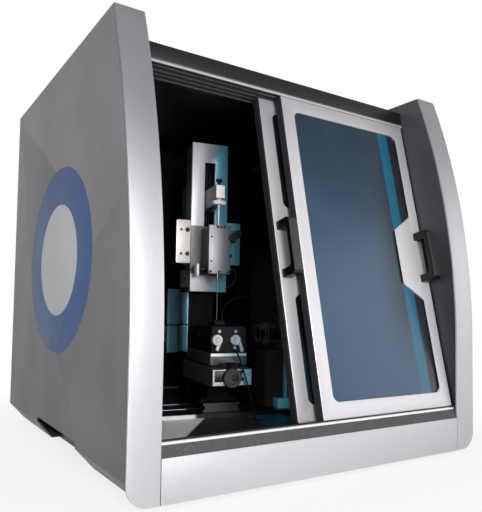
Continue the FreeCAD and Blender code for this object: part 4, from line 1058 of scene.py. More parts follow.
    def head(self) -> tuple[Finish, ...]:
        """The finishes of the syringe head.

        Returns:
            The finishes, not yet built.
        """
        port = -0.026
        return (
            # Painted light and shade: greyer in the middle and teal to the right, where the light falls
            # through the tinted doors, a dark band of painted shadow and reflection from the holder, and
            # another tone on the flanks.
            Brushed("plate_silver", (164, 163, 167),
                    (beyond((142, 146, 152), -0.016, -0.002), beyond((92, 160, 182), 0.004, 0.018),
                     from_height((76, 76, 79), 0.288, 0.291, 0.378), flank_shading((110, 124, 130))),
                    grainway=Grainway.UP, stretch=30.0, contrast=0.05),
            # Teal to the right: painted light through the tinted doors.
            Brushed("ear_silver", (216, 209, 205), (beyond((84, 158, 180), 0.004, 0.020),),
                    contrast=0.04),
            # Painted shade: darker towards the right, near black on the flanks.
            Brushed("holder_plate", (132, 131, 136),
                    (beyond((94, 98, 106), -0.012, 0.010), beyond((78, 84, 92), 0.010, 0.022),
                     flank_shading((30, 30, 33))), contrast=0.06, grainway=Grainway.UP),
            # The flanks are darker: painted shade. The pale part at the far left is the side port.
            Brushed("holder_grey", (70, 70, 74),
                    (flank_shading((44, 44, 47)), beyond((160, 160, 166), port, port - 0.003)),
                    contrast=0.12, grainway=Grainway.UP),
            # The flanks are darker: painted shade.
            Brushed("pusher_silver", (190, 190, 192), (flank_shading((66, 66, 70)),), contrast=0.04),
            Turned("plunger_steel", (150, 162, 184), (from_height((176, 178, 182), 0.405, 0.407),),
                   roughness=0.4, metallic=0.3),
            Coat("knob_black", (9, 9, 10), roughness=0.42, dust=0.0, specular=0.25, **MOULDED),
            Turned("hub_metal", (98, 90, 74), roughness=0.3),
            Turned("needle_steel", (92, 93, 97), roughness=0.45, metallic=0.3),
            # The drive screw is near black: the painted shade of its slot.
            Turned("screw_dark", (20, 20, 22), roughness=0.4),
        )

    def fittings(self) -> tuple[Finish, ...]:
        """The finishes of screws, hoses, cables and small metal parts.

        Returns:
            The finishes, not yet built.
        """
        return (
            Turned("steel", (176, 176, 174), roughness=0.22),
            # Darker blue-grey to the right: painted light through the tinted doors.
            Turned("fitting_silver", (190, 190, 194), (beyond((128, 138, 152), -0.004, 0.004),),
                   roughness=0.4, metallic=0.2),
            Coat("fitting_face", (150, 150, 154), (beyond((118, 124, 134), -0.004, 0.004),),
                 roughness=0.4, metallic=0.2, relief=0.00001),
            Pane("clear_glass", (244, 250, 252)),
            Coat("cable_black", (9, 9, 10), roughness=0.7, specular=0.1, **MATT),
            Coat("hose_grey", (44, 52, 60), roughness=0.4, clouds=0.15, **MATT),
            # Near black for screw sockets and the gap at the right door's edge: painted shade.
            Coat("hole_black", (3, 3, 4), roughness=0.6, relief=0.0, dust=0.0, specular=0.1),
            Coat("screw_black", (14, 14, 16), roughness=0.42, dust=0.0, specular=0.3),
            # Teal to the right: painted light through the tinted doors.
            Turned("screw_silver", (206, 206, 208), (beyond((150, 190, 214), -0.004, 0.004),),
                   roughness=0.3, metallic=0.4),
            Turned("stud_grey", (156, 154, 154), (beyond((132, 190, 210), 0.004, 0.020),),
                   roughness=0.4, metallic=0.2),
        )


NODE_FINISHES = {
    "side_paint": ("right_side_panel", "left_side_panel"),
    "liner_paint": ("side_liners",),
    "left_band_silver": ("left_front_trim",),
    "right_band_silver": ("right_front_trim",),
    "fascia_silver": ("front_fascia",),
    "door_silver": ("right_door_frame",),
    "left_door_silver": ("left_door_frame",),
    "lower_track_silver": ("lower_track",),
    "upper_track_silver": ("upper_track",),
    "header_black": ("header_beam",),
    "roof_paint": ("roof_panel",),
    "smoked_pane": ("right_door_window",),
    "shaded_pane": ("left_door_window",),
    "seal_rubber": ("right_door_seal", "left_door_seal", "rubber_feet"),
    "strip_rubber": ("sill_strip",),
    "handle_black": ("right_door_handle", "left_door_handle", "power_inlet"),
    "knob_black": ("thumb_screw", "clamp_knob"),
    "rear_paint": ("rear_panel",),
    "tray_grey": ("base_tray",),
    "bench_black": (
        "stage_bed", "drive_housing", "camera_body", "camera_lens", "light_source"),
    "carrier_black": ("stage_carrier",),
    "wheel_black": ("stage_handwheel",),
    "column_black": ("column",),
    "stand_brown": ("camera_stand",),
    "rail_grey": ("bench_rail",),
    "plate_silver": ("drive_plate",),
    "ear_silver": ("head_bracket",),
    "holder_plate": ("holder_front_plate",),
    "holder_grey": ("syringe_holder",),
    "pusher_silver": ("pusher_block",),
    "table_grey": ("stage_table",),
    "end_plate_silver": ("stage_end_plate",),
    "cover_teal": ("rear_cover_plates",),
    "shoe_teal": ("camera_blades",),
    "floor_metal": ("chamber_floor",),
    "base_black": ("bench_base",),
    "steel": ("drive_motor", "power_supply"),
    "needle_steel": ("needle",),
    "screw_dark": ("drive_screw",),
    "plunger_steel": ("plunger",),
    "fitting_silver": ("cell_fittings",),
    "clear_glass": ("glass_cell", "syringe_barrel"),
    "cell_black": ("cell_housing", "cell_cap"),
}

ROUNDED_NODES = {
    "right_door_frame": 0.0010,
    "left_door_frame": 0.0010,
    "right_front_trim": 0.0012,
    "left_front_trim": 0.0012,
    "front_fascia": 0.0008,
    "header_beam": 0.0010,
    "drive_plate": 0.0006,
    "head_bracket": 0.0006,
    "holder_front_plate": 0.0005,
    "stage_table": 0.0006,
    "camera_blades": 0.0003,
    "rear_cover_plates": 0.0004,
}


def body_of(node: str) -> str:
    """The body that a node rides on."""
    bodies = frame["record"]["behaviour"]["bodies"]
    return next(body for body, nodes in bodies.items() if node in nodes)


def slot_of(node: str) -> str:
    """The record's material slot of a node."""
    return next(part["material_slot"] for part in frame["record"]["subparts"] if part["node"] == node)


def finish_of(node: str) -> str:
    """The finish that a node wears."""
    return next(name for name, nodes in NODE_FINISHES.items() if node in nodes)


def round_edges(finishes: Finishes) -> None:
    """Puts a copy with softened edges in the place of each node whose edges catch the light.

    Args:
        finishes: The finishes.
    """
    for node, width in ROUNDED_NODES.items():
        piece = Workpiece.from_node(node + "_rounded", node)
        piece.soften(width)
        piece.settle(body_of(node), finishes[finish_of(node)], slot_of(node), (node,))


def dress_nodes(finishes: Finishes) -> None:
    """Gives every node of the frame its material.

    Args:
        finishes: The finishes.
    """
    for name, nodes in NODE_FINISHES.items():
        for node in nodes:
            mesh = frame["nodes"][node].data
            mesh.materials.clear()
            mesh.materials.append(finishes[name])


# Studio

@dataclass(frozen=True)
class Lamp:
    """A soft square lamp, with its power in watts."""

    name: str
    place: Triple
    size: float
    power: float
    aim: Triple = (0.0, -0.1, 0.3)
    spread: float = math.pi

    def hang(self) -> None:
        """Hangs the lamp."""
        data = bpy.data.lights.new(self.name, "AREA")
        data.shape = "SQUARE"
        data.size = self.size
        data.energy = self.power
        data.spread = self.spread
        lamp = bpy.data.objects.new(self.name, data)
        lamp.matrix_world = facing(self.place, (Vector(self.place) - Vector(self.aim)).normalized())
        bpy.context.scene.collection.objects.link(lamp)


LAMPS = (
    Lamp("front_lamp", (-1.2, -2.1, 0.9), 1.4, 20.0),
    Lamp("side_lamp", (1.9, -1.4, 0.7), 1.2, 7.0),
    Lamp("bench_lamp", (-0.48, -1.9, 0.50), 0.5, 2.4, (-0.06, -0.03, 0.30), math.radians(50)),
)


@dataclass(frozen=True)
class Studio:
    """The camera, the floor, the lamps and the sky."""

    camera_place: Triple = (-0.536635, -0.897965, 0.224136)
    camera_right: Triple = (0.83859, -0.54452, 0.01638)
    camera_up: Triple = (-0.04051, -0.03234, 0.99866)
    camera_back: Triple = (-0.54326, -0.83813, -0.04918)
    lens: float = 42.75
    sensor: float = 36.0
    shift: tuple[float, float] = (-0.0056, 0.0537)
    floor_radius: float = 12.0

    def set_camera(self) -> None:
        """Places the camera as the photograph was taken."""
        data = bpy.data.cameras.new("camera")
        data.sensor_fit = "HORIZONTAL"
        data.sensor_width = self.sensor
        data.lens = self.lens
        data.shift_x, data.shift_y = self.shift
        data.clip_start, data.clip_end = 0.02, 50.0
        camera = bpy.data.objects.new("camera", data)
        turn = Matrix((self.camera_right, self.camera_up, self.camera_back)).transposed().to_4x4()
        camera.matrix_world = Matrix.Translation(Vector(self.camera_place)) @ turn
        bpy.context.scene.collection.objects.link(camera)
        bpy.context.scene.camera = camera

    def floor_paint(self) -> bpy.types.Material:
        """A pale floor that keeps the object's shadow and fades to white away from it.

        Returns:
            The floor's material.
        """
        material = bpy.data.materials.new("studio_floor")
        material.use_nodes = True
        sheet = Sheet(material.node_tree)
        shader = material.node_tree.nodes["Principled BSDF"]
        shader.inputs["Base Color"].default_value = (0.86, 0.86, 0.86, 1.0)
        shader.inputs["Roughness"].default_value = 0.9
        shader.inputs["Specular IOR Level"].default_value = 0.0
        place = sheet.add("TexCoord").outputs["Object"]
        far = sheet.add("VectorMath", {0: place}, operation="LENGTH").outputs["Value"]
        fade = sheet.span(far, 0.30, 0.80, 0.80, 1.0, smooth=True)
        path = sheet.add("LightPath").outputs
        seen = sheet.math("MAXIMUM", path["Is Camera Ray"], path["Is Glossy Ray"])
        seen = sheet.math("MAXIMUM", seen, path["Is Transmission Ray"])
        share = sheet.math("MULTIPLY", fade, seen)
        white = sheet.add("Emission", {"Color": WHITE, "Strength": 1.0})
        mixed = sheet.add("MixShader", {0: share, 1: shader.outputs[0], 2: white.outputs[0]})
        output = material.node_tree.nodes["Material Output"]
        sheet.tree.links.new(mixed.outputs[0], output.inputs["Surface"])
        return material

    def lay_floor(self) -> None:
        """Lays the floor under the feet."""
        clear_selection()
        bpy.ops.mesh.primitive_circle_add(vertices=96, radius=self.floor_radius, fill_type="NGON")
        floor = bpy.context.object
        floor.name = "studio_floor"
        floor.data.materials.append(self.floor_paint())

    def light_sky(self) -> None:
        """A sky that is white at the horizon and dimmer overhead, and plain white to the camera."""
        world = bpy.data.worlds.new("studio_sky")
        bpy.context.scene.world = world
        world.use_nodes = True
        sheet = Sheet(world.node_tree)
        background = world.node_tree.nodes["Background"]
        way = sheet.add("TexCoord").outputs["Generated"]
        height = sheet.add("SeparateXYZ", {0: way}).outputs[2]
        dome = sheet.span(height, 0.10, 0.85, 0.80, 0.36, smooth=True)
        path = sheet.add("LightPath").outputs
        shine = sheet.math("MAXIMUM", path["Is Glossy Ray"], path["Is Transmission Ray"])
        bright = sheet.span(height, 0.10, 0.80, 1.0, 0.42, smooth=True)
        level = sheet.add("Mix", {0: shine, 2: dome, 3: bright}, data_type="FLOAT").outputs[0]
        final = sheet.add(
            "Mix", {0: path["Is Camera Ray"], 2: level, 3: 1.0}, data_type="FLOAT").outputs[0]
        background.inputs["Color"].default_value = WHITE
        sheet.tree.links.new(final, background.inputs["Strength"])

    def build(self) -> None:
        """Sets up the studio."""
        self.set_camera()
        self.lay_floor()
        self.light_sky()
        for lamp in LAMPS:
            lamp.hang()
        bpy.context.scene.view_settings.view_transform = "Standard"


# Cords

@dataclass(frozen=True)
class Cord:
    """A cord that leaves the object and goes back into it, on one smooth line."""

    name: str
    node: str
    body: str
    radius: float
    length: float
    route: tuple[Triple, ...]
    finish: str
    slot: str
    stiffness: str = "medium"
    lay: str = "loose"

    def build(self, finishes: Finishes) -> None:
        """Makes the cord as a curve.

        Args:
            finishes: The finishes.
        """
        data = bpy.data.curves.new(self.name, "CURVE")
        data.dimensions = "3D"
        data.bevel_depth = self.radius
        data.bevel_resolution = 5
        data.resolution_u = 10
        data.use_fill_caps = True
        spline = data.splines.new("NURBS")
        spline.points.add(len(self.route) - 1)
        places = [BENCH.point(place) for place in self.route]
        for point, place in zip(spline.points, places):
            point.co = (place.x, place.y, place.z, 1.0)
        spline.order_u = 3
        spline.use_endpoint_u = True
        obj = bpy.data.objects.new(self.name, data)
        bpy.context.scene.collection.objects.link(obj)
        data.materials.append(finishes[self.finish])
        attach(obj, self.body)
        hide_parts(self.node)
        log.info("%s runs %.3f m", self.name, self.length)


CORDS = (
    Cord("probe_lead", "probe_cable", "stage", 0.0013, 0.148, (
        (0.007, -0.067, 0.152), (0.007, -0.075, 0.152), (0.0086, -0.0835, 0.1474),
        (0.0115, -0.09, 0.134), (0.0155, -0.094, 0.1185), (0.0205, -0.0965, 0.101),
        (0.026, -0.0975, 0.082), (0.031, -0.0975, 0.062), (0.034, -0.0965, 0.041),
        (0.035, -0.0955, 0.022)), "cable_black", "cable_black"),
    Cord("cap_lead", "cap_cable", "stage", 0.0012, 0.3163, (
        (0.0055, -0.012, 0.203), (0.0055, -0.012, 0.214), (0.0105, -0.0145, 0.227),
        (0.021, -0.019, 0.237), (0.035, -0.0235, 0.2425), (0.051, -0.028, 0.2415),
        (0.0665, -0.0335, 0.234), (0.0795, -0.04, 0.2205), (0.0895, -0.047, 0.202),
        (0.0975, -0.0535, 0.18), (0.104, -0.059, 0.155), (0.109, -0.063, 0.128),
        (0.1125, -0.0655, 0.099), (0.114, -0.0665, 0.07), (0.1145, -0.0665, 0.042),
        (0.114, -0.066, 0.022)), "cable_black", "cable_black"),
    Cord("port_lead", "sensor_lead", "head", 0.0009, 0.04, (
        (-0.035, 0.026, 0.291), (-0.0395, 0.026, 0.291), (-0.0432, 0.0282, 0.2894),
        (-0.0454, 0.0323, 0.2856), (-0.0462, 0.0376, 0.2806), (-0.0459, 0.0426, 0.2756),
        (-0.045, 0.0475, 0.2715), (-0.045, 0.052, 0.2715)), "cable_black", "cable_black", "limp"),
    Cord("side_hose", "loop_hose", "head", 0.0018, 0.0942, (
        (0.02, 0.012, 0.292), (0.027, 0.012, 0.292), (0.035, 0.0148, 0.2924),
        (0.0428, 0.0234, 0.2892), (0.0478, 0.0324, 0.283), (0.0502, 0.0424, 0.276),
        (0.051, 0.052, 0.2706), (0.0518, 0.0615, 0.266), (0.0483, 0.0675, 0.2632),
        (0.0423, 0.071, 0.262), (0.0353, 0.071, 0.262)), "hose_grey", "hose_grey", "limp"),
)


# Fasteners

class Head(Enum):
    """The kinds of screw head, each with its radius, height, socket radius and socket depth."""

    CAP = (0.0040, 0.0030, 0.0019, 0.0018)
    SMALL_CAP = (0.0026, 0.0020, 0.0012, 0.0012)
    BUTTON = (0.0024, 0.0010, 0.0009, 0.0007)
    COUNTERSUNK = (0.0035, 0.0004, 0.0014, 0.0003)
    STUD = (0.0032, 0.0004, 0.0020, 0.0003)


def screw_head(name: str, kind: Head) -> Workpiece:
    """One screw head with its hexagon socket, its foot at zero and its top along +Z.

    Args:
        name: The piece's name.
        kind: Which head.

    Returns:
        The head.
    """
    radius, height, socket, depth = kind.value
    edge = height * 0.22
    head = Workpiece.lathed(
        name, ((radius, -CLOSE), (radius, height - edge), (radius - edge, height)), 24)
    tool = Workpiece.lathed("socket_tool", ((socket, height - depth), (socket, height + depth)), 6)
    return head.less(tool)


@dataclass(frozen=True)
class ScrewSet:
    """A set of like screws on one body."""

    name: str
    kind: Head
    body: str
    places: tuple[Triple, ...]
    axis: Triple
    finish: str
    slot: str
    place: Matrix = field(default_factory=lambda: BENCH.matrix())

    def build(self, finishes: Finishes) -> None:
        """Makes one screw and copies it to each place.

        Args:
            finishes: The finishes.
        """
        spots = [self.place @ facing(spot, self.axis) for spot in self.places]
        _, height, socket, depth = self.kind.value
        head = screw_head(self.name, self.kind)
        # The faces inside each socket take painted shade, near black.
        head.paint(
            finishes[self.finish], finishes["hole_black"],
            lambda middle, normal: 0 < middle.z < height - depth * 0.2
            and math.hypot(middle.x, middle.y) < socket)
        head.copies(spots).settle(self.body, None, self.slot)


def pairs(across: Sequence[float], up: Sequence[float], depth: float) -> tuple[Triple, ...]:
    """The places of a grid on a front face."""
    return tuple((x, depth, z) for x in across for z in up)


@dataclass(frozen=True)
class Assembly:
    """What every sub-assembly shares: the finishes, and its steps in their order."""

    finishes: Finishes

    def steps(self) -> tuple[Callable[[], None], ...]:
        """The methods that make its pieces."""
        return ()

    def build(self) -> None:
        """Makes every piece of the sub-assembly."""
        for step in self.steps():
            step()


# Cabinet

@dataclass(frozen=True)
class Cabinet(Assembly):
    """The cabinet's trims: the round ornament, joints, grips, screws and grommets."""

    ring_centre: tuple[float, float] = (-0.005, 0.296)
    ring_depth: float = 0.166
    ring_height: float = 0.1415
    disc_share: float = 0.6
    foil: float = 0.0003
    seam: float = 0.0007
    roof_screw_inset: float = 0.006
    grip_start: float = -0.1225
    grip_end: float = 0.0915
    grip_top: float = 0.043
    grip_lip: float = 0.016
    roof_rows: tuple[float, ...] = (0.06, 0.35, 0.65, 0.94)
    rear_rows: tuple[float, ...] = (0.03, 0.27, 0.5, 0.73, 0.97)
    strip_end: float = 0.006
    cover_heights: tuple[tuple[float, float], ...] = ((0.1380, 0.1885), (0.1910, 0.2520))
    grommet: tuple[float, float, float, float] = (0.0125, 0.0014, 0.0014, 0.0058)

    def ornament(self) -> None:
        """The plain oval ring and the bare disc, inlaid flush in the left cheek."""
        low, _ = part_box("left_side_panel")
        foil = self.foil
        spot = facing((low.x + foil + HAIR, self.ring_centre[0], self.ring_centre[1]), LEFT)
        wide, tall = self.ring_depth, self.ring_height
        oval = Matrix.Diagonal((1.0, wide / tall, 1.0, 1.0))
        place = Matrix.Translation(spot.translation) @ oval @ spot.to_3x3().to_4x4()
        seat = Workpiece.lathed("ring_seat", ((tall + HAIR, -HAIR), (tall + HAIR, foil * 4)), 128)
        panel = Workpiece.from_node("left_side_inlaid", "left_side_panel").less(seat.moved(place))
        panel.settle("cabinet", self.finishes["side_paint"], "side_grey", ("left_side_panel",))
        inner = tall * self.disc_share
        disc = Workpiece.lathed(
            "side_disc", ((inner, 0.0), (inner, foil * 0.6), (inner - foil, foil)), 128)
        disc.moved(place).settle("cabinet", self.finishes["disc_pale"])
        ring = Workpiece.lathed(
            "side_ring", ((tall, 0.0), (tall, foil * 0.6), (tall - foil, foil)), 128)
        edge = inner + foil
        hole = Workpiece.lathed("ring_tool", ((edge, -foil), (edge, foil * 3)), 128)
        ring.less(hole).moved(place).settle("cabinet", self.finishes["ring_blue"])

    def seams(self) -> None:
        """The dark joints in the grooves between the bands and the fascia."""
        low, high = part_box("front_fascia")
        made = []
        for edge in (low.x, high.x):
            strip = Workpiece.block(
                "front_seam", (edge - self.seam / 2, low.y + CLOSE, low.z + self.seam),
                (edge + self.seam / 2, low.y + self.seam, low.z + 0.0515))
            made.append(strip.bevel(axis_is(UP), self.seam / 5, 1))
        made[0].joined(made[1]).obj.name = "front_seams"
        made[0].settle("cabinet", self.finishes["seal_rubber"], "seal_rubber")

    def grip_lips(self) -> None:
        """The folded lip over each hand grip."""
        for side, name in ((1, "right_grip_lip"), (-1, "left_grip_lip")):
            low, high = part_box("right_side_panel" if side > 0 else "left_side_panel")
            outer = (high.x if side > 0 else low.x) - side * 0.004
            inner = outer - side * self.grip_lip
            lip = Workpiece.block(
                name, (min(outer, inner), self.grip_start + 0.004, self.grip_top - 0.0005),
                (max(outer, inner), self.grip_end - 0.004, self.grip_top + 0.0015))
            edge = side * -1.0
            lip.push(lambda middle, normal, edge=edge: normal.x * edge > 0.9, (0, 0, -0.010))
            lip.soften(0.0004).settle("cabinet", self.finishes["side_paint"], "side_grey")

    def shell_screws(self) -> None:
        """The countersunk screws of the roof and the back."""
        low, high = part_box("roof_panel")
        inset = self.roof_screw_inset
        rows = [low.y + (high.y - low.y) * share for share in self.roof_rows]
        spots = tuple((x, y, high.z) for x in (low.x + inset, high.x - inset) for y in rows)
        ScrewSet("roof_screws", Head.COUNTERSUNK, "cabinet", spots, UP, "screw_black",
                 "dark_metal", UPRIGHT).build(self.finishes)
        low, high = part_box("rear_panel")
        heights = [low.z + (high.z - low.z) * share for share in self.rear_rows]
        spots = tuple((x, high.y, z) for x in (low.x + inset, high.x - inset) for z in heights)
        ScrewSet("rear_screws", Head.COUNTERSUNK, "cabinet", spots, BACK, "screw_silver",
                 "steel", UPRIGHT).build(self.finishes)

    def door_edge(self) -> None:
        """The near-black strip down the right door's right edge, standing for the shade in the gap by
        the cheek.
        """
        low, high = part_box("right_door_frame")
        lean, end = DOORS.lean, self.strip_end
        length = (high.z - low.z - 0.002) / math.cos(lean)
        strip = Workpiece.block(
            "door_edge_strip", (-0.0022, -0.0010, end), (0.0014, 0.0060, length - end))
        strip.bevel(lambda middle, way: abs(way.z) > 0.9 and middle.y < 0, 0.0003, 2)
        strip.moved(Matrix.Translation((high.x, low.y, low.z)) @ Matrix.Rotation(-lean, 4, "X"))
        strip.settle("right_door", self.finishes["hole_black"], "seal_rubber")

    def column_covers(self) -> None:
        """The bare plates on the column's left flank, coloured with painted teal light."""
        made = []
        for low, high in self.cover_heights:
            plate = Workpiece.block(
                "column_covers", (-0.0265, 0.092, low), (-0.025 + HAIR, 0.142, high))
            made.append(plate.soften(0.0004))
        made[0].joined(made[1]).moved(BENCH.matrix())
        made[0].settle("cabinet", self.finishes["cover_teal"], "dark_plate")

    def grommets(self) -> None:
        """The slotted rubber grommets where the stage's cables go down.

        The grommet's own sizes are its half width, its rim, its height and its slot's reach.
        """
        _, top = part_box("chamber_floor")
        half, rim, rise, reach = self.grommet
        for name, cord in (("probe_grommet", CORDS[0]), ("cap_grommet", CORDS[1])):
            x, y, _ = cord.route[-2]
            height = top.z - BENCH.lift
            plate = Workpiece.block(
                name, (x - half, y - half, height), (x + half, y + half, height + rise))
            plate.bevel(lambda middle, way: abs(way.z) > 0.9, 0.006, 5)
            hole = cord.radius + 0.0006
            tool = Workpiece.block(
                "hole_tool", (x - hole, y - hole - reach, height - 0.01),
                (x + hole, y + hole + reach, height + 0.01))
            tool.bevel(lambda middle, way: abs(way.z) > 0.9, hole * 0.96, 6)
            plate.less(tool).inset(axis_is(UP), rim, -rise * 0.45)
            plate.moved(BENCH.matrix()).settle("cabinet", self.finishes["seal_rubber"], "seal_rubber")

    def steps(self) -> tuple[Callable[[], None], ...]:
        """What is made, in order."""
        return (self.ornament, self.seams, self.grip_lips, self.shell_screws,
                self.door_edge, self.column_covers, self.grommets)


# Stage and cell

@dataclass(frozen=True)
class Stage(Assembly):
    """The details of the stage and the heated cell."""

    face: float = -0.064
    end_face: float = -0.082
    disc_places: tuple[float, float] = (-0.0235, 0.0080)
    disc_height: float = 0.1698
    disc_front: float = -0.076
    disc_inner: float = 0.0056
    cell_screws: tuple[tuple[float, float], ...] = (
        (-0.0171, 0.1836), (0.0116, 0.1836), (0.0100, 0.1569))

    def screws(self) -> None:
        """The screws of the cell's face, the end plate and the base."""
        ScrewSet("cell_screws", Head.BUTTON, "stage",
                 tuple((x, self.face, z) for x, z in self.cell_screws),
                 FRONT, "screw_silver", "steel").build(self.finishes)
        ScrewSet("cap_screws", Head.BUTTON, "stage",
                 ((-0.0075, -0.0125, 0.200), (-0.0075, 0.0135, 0.200), (0.0075, 0.0135, 0.200)),
                 UP, "screw_black", "steel").build(self.finishes)
        ScrewSet("end_plate_screws", Head.SMALL_CAP, "cabinet",
                 pairs((0.0176,), (0.107, 0.1195), self.end_face), FRONT,
                 "screw_black", "handle_black").build(self.finishes)
        ScrewSet("table_screws", Head.BUTTON, "stage",
                 tuple((x, y, 0.148) for x in (-0.026, 0.026) for y in (0.050, 0.062)),
                 UP, "screw_black", "handle_black").build(self.finishes)
        ScrewSet("base_screws", Head.CAP, "cabinet",
                 tuple((x, y, 0.048) for x in (-0.176, 0.176) for y in (-0.036, 0.100, 0.238)),
                 UP, "screw_black", "handle_black").build(self.finishes)

    def fitting_faces(self) -> None:
        """The dished grey face in each hose fitting."""
        rim = 0.0004
        face = Workpiece.lathed(
            "fitting_faces", ((self.disc_inner, -rim), (self.disc_inner, rim),
                              (self.disc_inner - rim, rim), (self.disc_inner * 0.55, rim * 0.4),
                              (self.disc_inner * 0.2, 0.0)), 40)
        spots = [BENCH.matrix() @ facing((x, self.disc_front, self.disc_height), FRONT)
                 for x in self.disc_places]
        face.copies(spots).settle("stage", self.finishes["fitting_face"], "fitting_silver")

    def handwheel_cap(self) -> None:
        """The cap and its screw in the handwheel's dish."""
        dish = -0.0923
        cap = Workpiece.lathed(
            "handwheel_cap", ((0.0052, -0.0006), (0.0052, 0.0010), (0.0044, 0.0016),
                              (0.0024, 0.0016), (0.0020, 0.0008)), 36)
        cap.moved(BENCH.matrix() @ facing((0, dish, 0.110), FRONT))
        cap.settle("handwheel", self.finishes["screw_black"], "instrument_black")

    def bearing_cover(self) -> None:
        """The black cover over the stage screw's front bearing."""
        cover = Workpiece.block(
            "bearing_cover", (-0.0304, -0.08515, 0.1032), (0.0145, self.end_face + CLOSE, 0.1210))
        cover.bevel(lambda middle, way: abs(way.y) > 0.9, 0.0015, 3).soften(0.0003)
        tool = Workpiece.lathed("bearing_tool", ((0.0050, -0.01), (0.0050, 0.01)), 32)
        tool.moved(facing((0, -0.084, 0.110), FRONT))
        cover.less(tool).moved(BENCH.matrix())
        cover.settle("cabinet", self.finishes["knob_black"], "instrument_black")

    def steps(self) -> tuple[Callable[[], None], ...]:
        """What is made, in order."""
        return self.screws, self.fitting_faces, self.handwheel_cap, self.bearing_cover


# Syringe head

@dataclass(frozen=True)
class SyringeHead(Assembly):
    """The details of the syringe head: screws, the thumb screw, the winged knob and the needle's hub."""

    ear_face: float = 0.051
    ear_columns: tuple[float, float] = (0.0415, 0.0530)
    ear_rows: tuple[float, float] = (0.320, 0.364)
    front_face: float = -0.010
    knob_place: Triple = (0.027, -0.0045, 0.349)
    knob_turn: float = math.radians(38.0)
    knob_lobe: float = 0.0068
    hub_low: float = 0.2696
    hub_high: float = 0.283
    thumb_foot: float = 0.4392

    def screws(self) -> None:
        """The screws of the ears and the front plate."""
        inner, outer = self.ear_columns
        ScrewSet("ear_screws", Head.CAP, "head", pairs((-inner, inner), self.ear_rows, self.ear_face),
                 FRONT, "screw_black", "handle_black").build(self.finishes)
        ScrewSet("ear_studs", Head.STUD, "head", pairs((-outer, outer), self.ear_rows, self.ear_face),
                 FRONT, "stud_grey", "steel").build(self.finishes)
        low = tuple((x, self.front_face, 0.2853) for x in (-0.0165, 0.0, 0.0165))
        top = tuple((x, self.front_face, 0.3640) for x in (-0.0045, 0.0015, 0.0075))
        ScrewSet("front_plate_screws", Head.BUTTON, "head", low + top, FRONT, "screw_black",
                 "handle_black").build(self.finishes)
        ScrewSet("front_plate_pins", Head.STUD, "head",
                 pairs((-0.0150,), (0.303, 0.346), self.front_face), FRONT, "stud_grey",
                 "brushed_plate").build(self.finishes)

    def thumb_screw(self) -> None:
        """The knurled thumb screw on the pusher."""
        _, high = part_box("thumb_screw")
        foot, top = self.thumb_foot, high.z - BENCH.lift
        head = 0.0060
        grips = 28
        steps = ((0.0019, foot - 0.0085), (0.0019, foot), (0.0030, foot), (0.0026, foot + 0.0045),
                 (head - 0.0007, top - 0.0050), (head - 0.0004, top - 0.0046),
                 (head - 0.0004, top - 0.0008), (head - 0.0012, top), (0.0022, top),
                 (0.0018, top - 0.0006))
        piece = Workpiece.lathed("thumb_knob", steps, grips * 2)
        step, rim_low, rim_high = math.pi / grips, top - 0.0045, top - 0.0009

        def gripped(middle: Vector, normal: Vector) -> bool:
            """Whether a face is one of the rim's grips."""
            turn = math.atan2(middle.y, middle.x) % (2 * math.pi)
            return abs(normal.z) < 0.1 and rim_low < middle.z < rim_high and int(turn / step) % 2 == 0

        with editing(piece.obj):
            piece.pick("FACE", gripped)
            bpy.ops.mesh.inset(thickness=0.0001, depth=0.00035, use_individual=True)
        piece.moved(BENCH.matrix())
        piece.settle("thumb", self.finishes["knob_black"], "handle_black", ("thumb_screw",))

    def clamp_knob(self) -> None:
        """The smooth winged knob on the holder's lug."""
        lobe = self.knob_lobe
        hub = Workpiece.lathed("clamp_wing_knob", ((0.0064, 0.0), (0.0064, 0.0150)), 40)
        ear = Workpiece.lathed("knob_lobe", ((lobe, 0.0062), (lobe, 0.0150)), 40)
        ear.copies([Matrix.Translation((side * lobe, 0.0, 0.0)) for side in (-0.94, 0.94)])
        stud = Workpiece.lathed("knob_stud", ((0.0024, -0.0088), (0.0024, 0.001)), 24)
        hub.joined(ear, stud).modify("REMESH", mode="VOXEL", voxel_size=0.0005)
        hub.modify("SMOOTH", factor=0.6, iterations=5)
        turn = Matrix.Rotation(self.knob_turn, 4, "Z")
        place = BENCH.matrix() @ facing(self.knob_place, FRONT) @ turn
        hub.moved(place).settle(
            "knob", self.finishes["knob_black"], "handle_black", ("clamp_knob",), math.radians(60))

    def needle(self) -> None:
        """The needle's tube and its two-tone hub."""
        low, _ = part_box("needle")
        tip = low.z - BENCH.lift
        tube = Workpiece.lathed(
            "needle_tube", ((0.0006, tip), (0.0006, self.hub_low + 0.001)), 20)
        tube.moved(BENCH.matrix()).settle("head", self.finishes["needle_steel"], "steel", ("needle",))
        middle = self.hub_high - 0.0030
        hub = Workpiece.lathed(
            "needle_hub", ((0.0012, self.hub_low), (0.0021, self.hub_low + 0.0004),
                           (0.0029, middle - 0.0008), (0.0029, middle), (0.0036, middle),
                           (0.0036, middle + 0.0007), (0.0031, middle + 0.0010),
                           (0.0031, self.hub_high - 0.0008), (0.0036, self.hub_high - 0.0005),
                           (0.0036, self.hub_high)), 32)
        hub.moved(BENCH.matrix()).settle("head", self.finishes["hub_metal"], "steel")

    def steps(self) -> tuple[Callable[[], None], ...]:
        """What is made, in order."""
        return self.screws, self.thumb_screw, self.clamp_knob, self.needle


# Optics

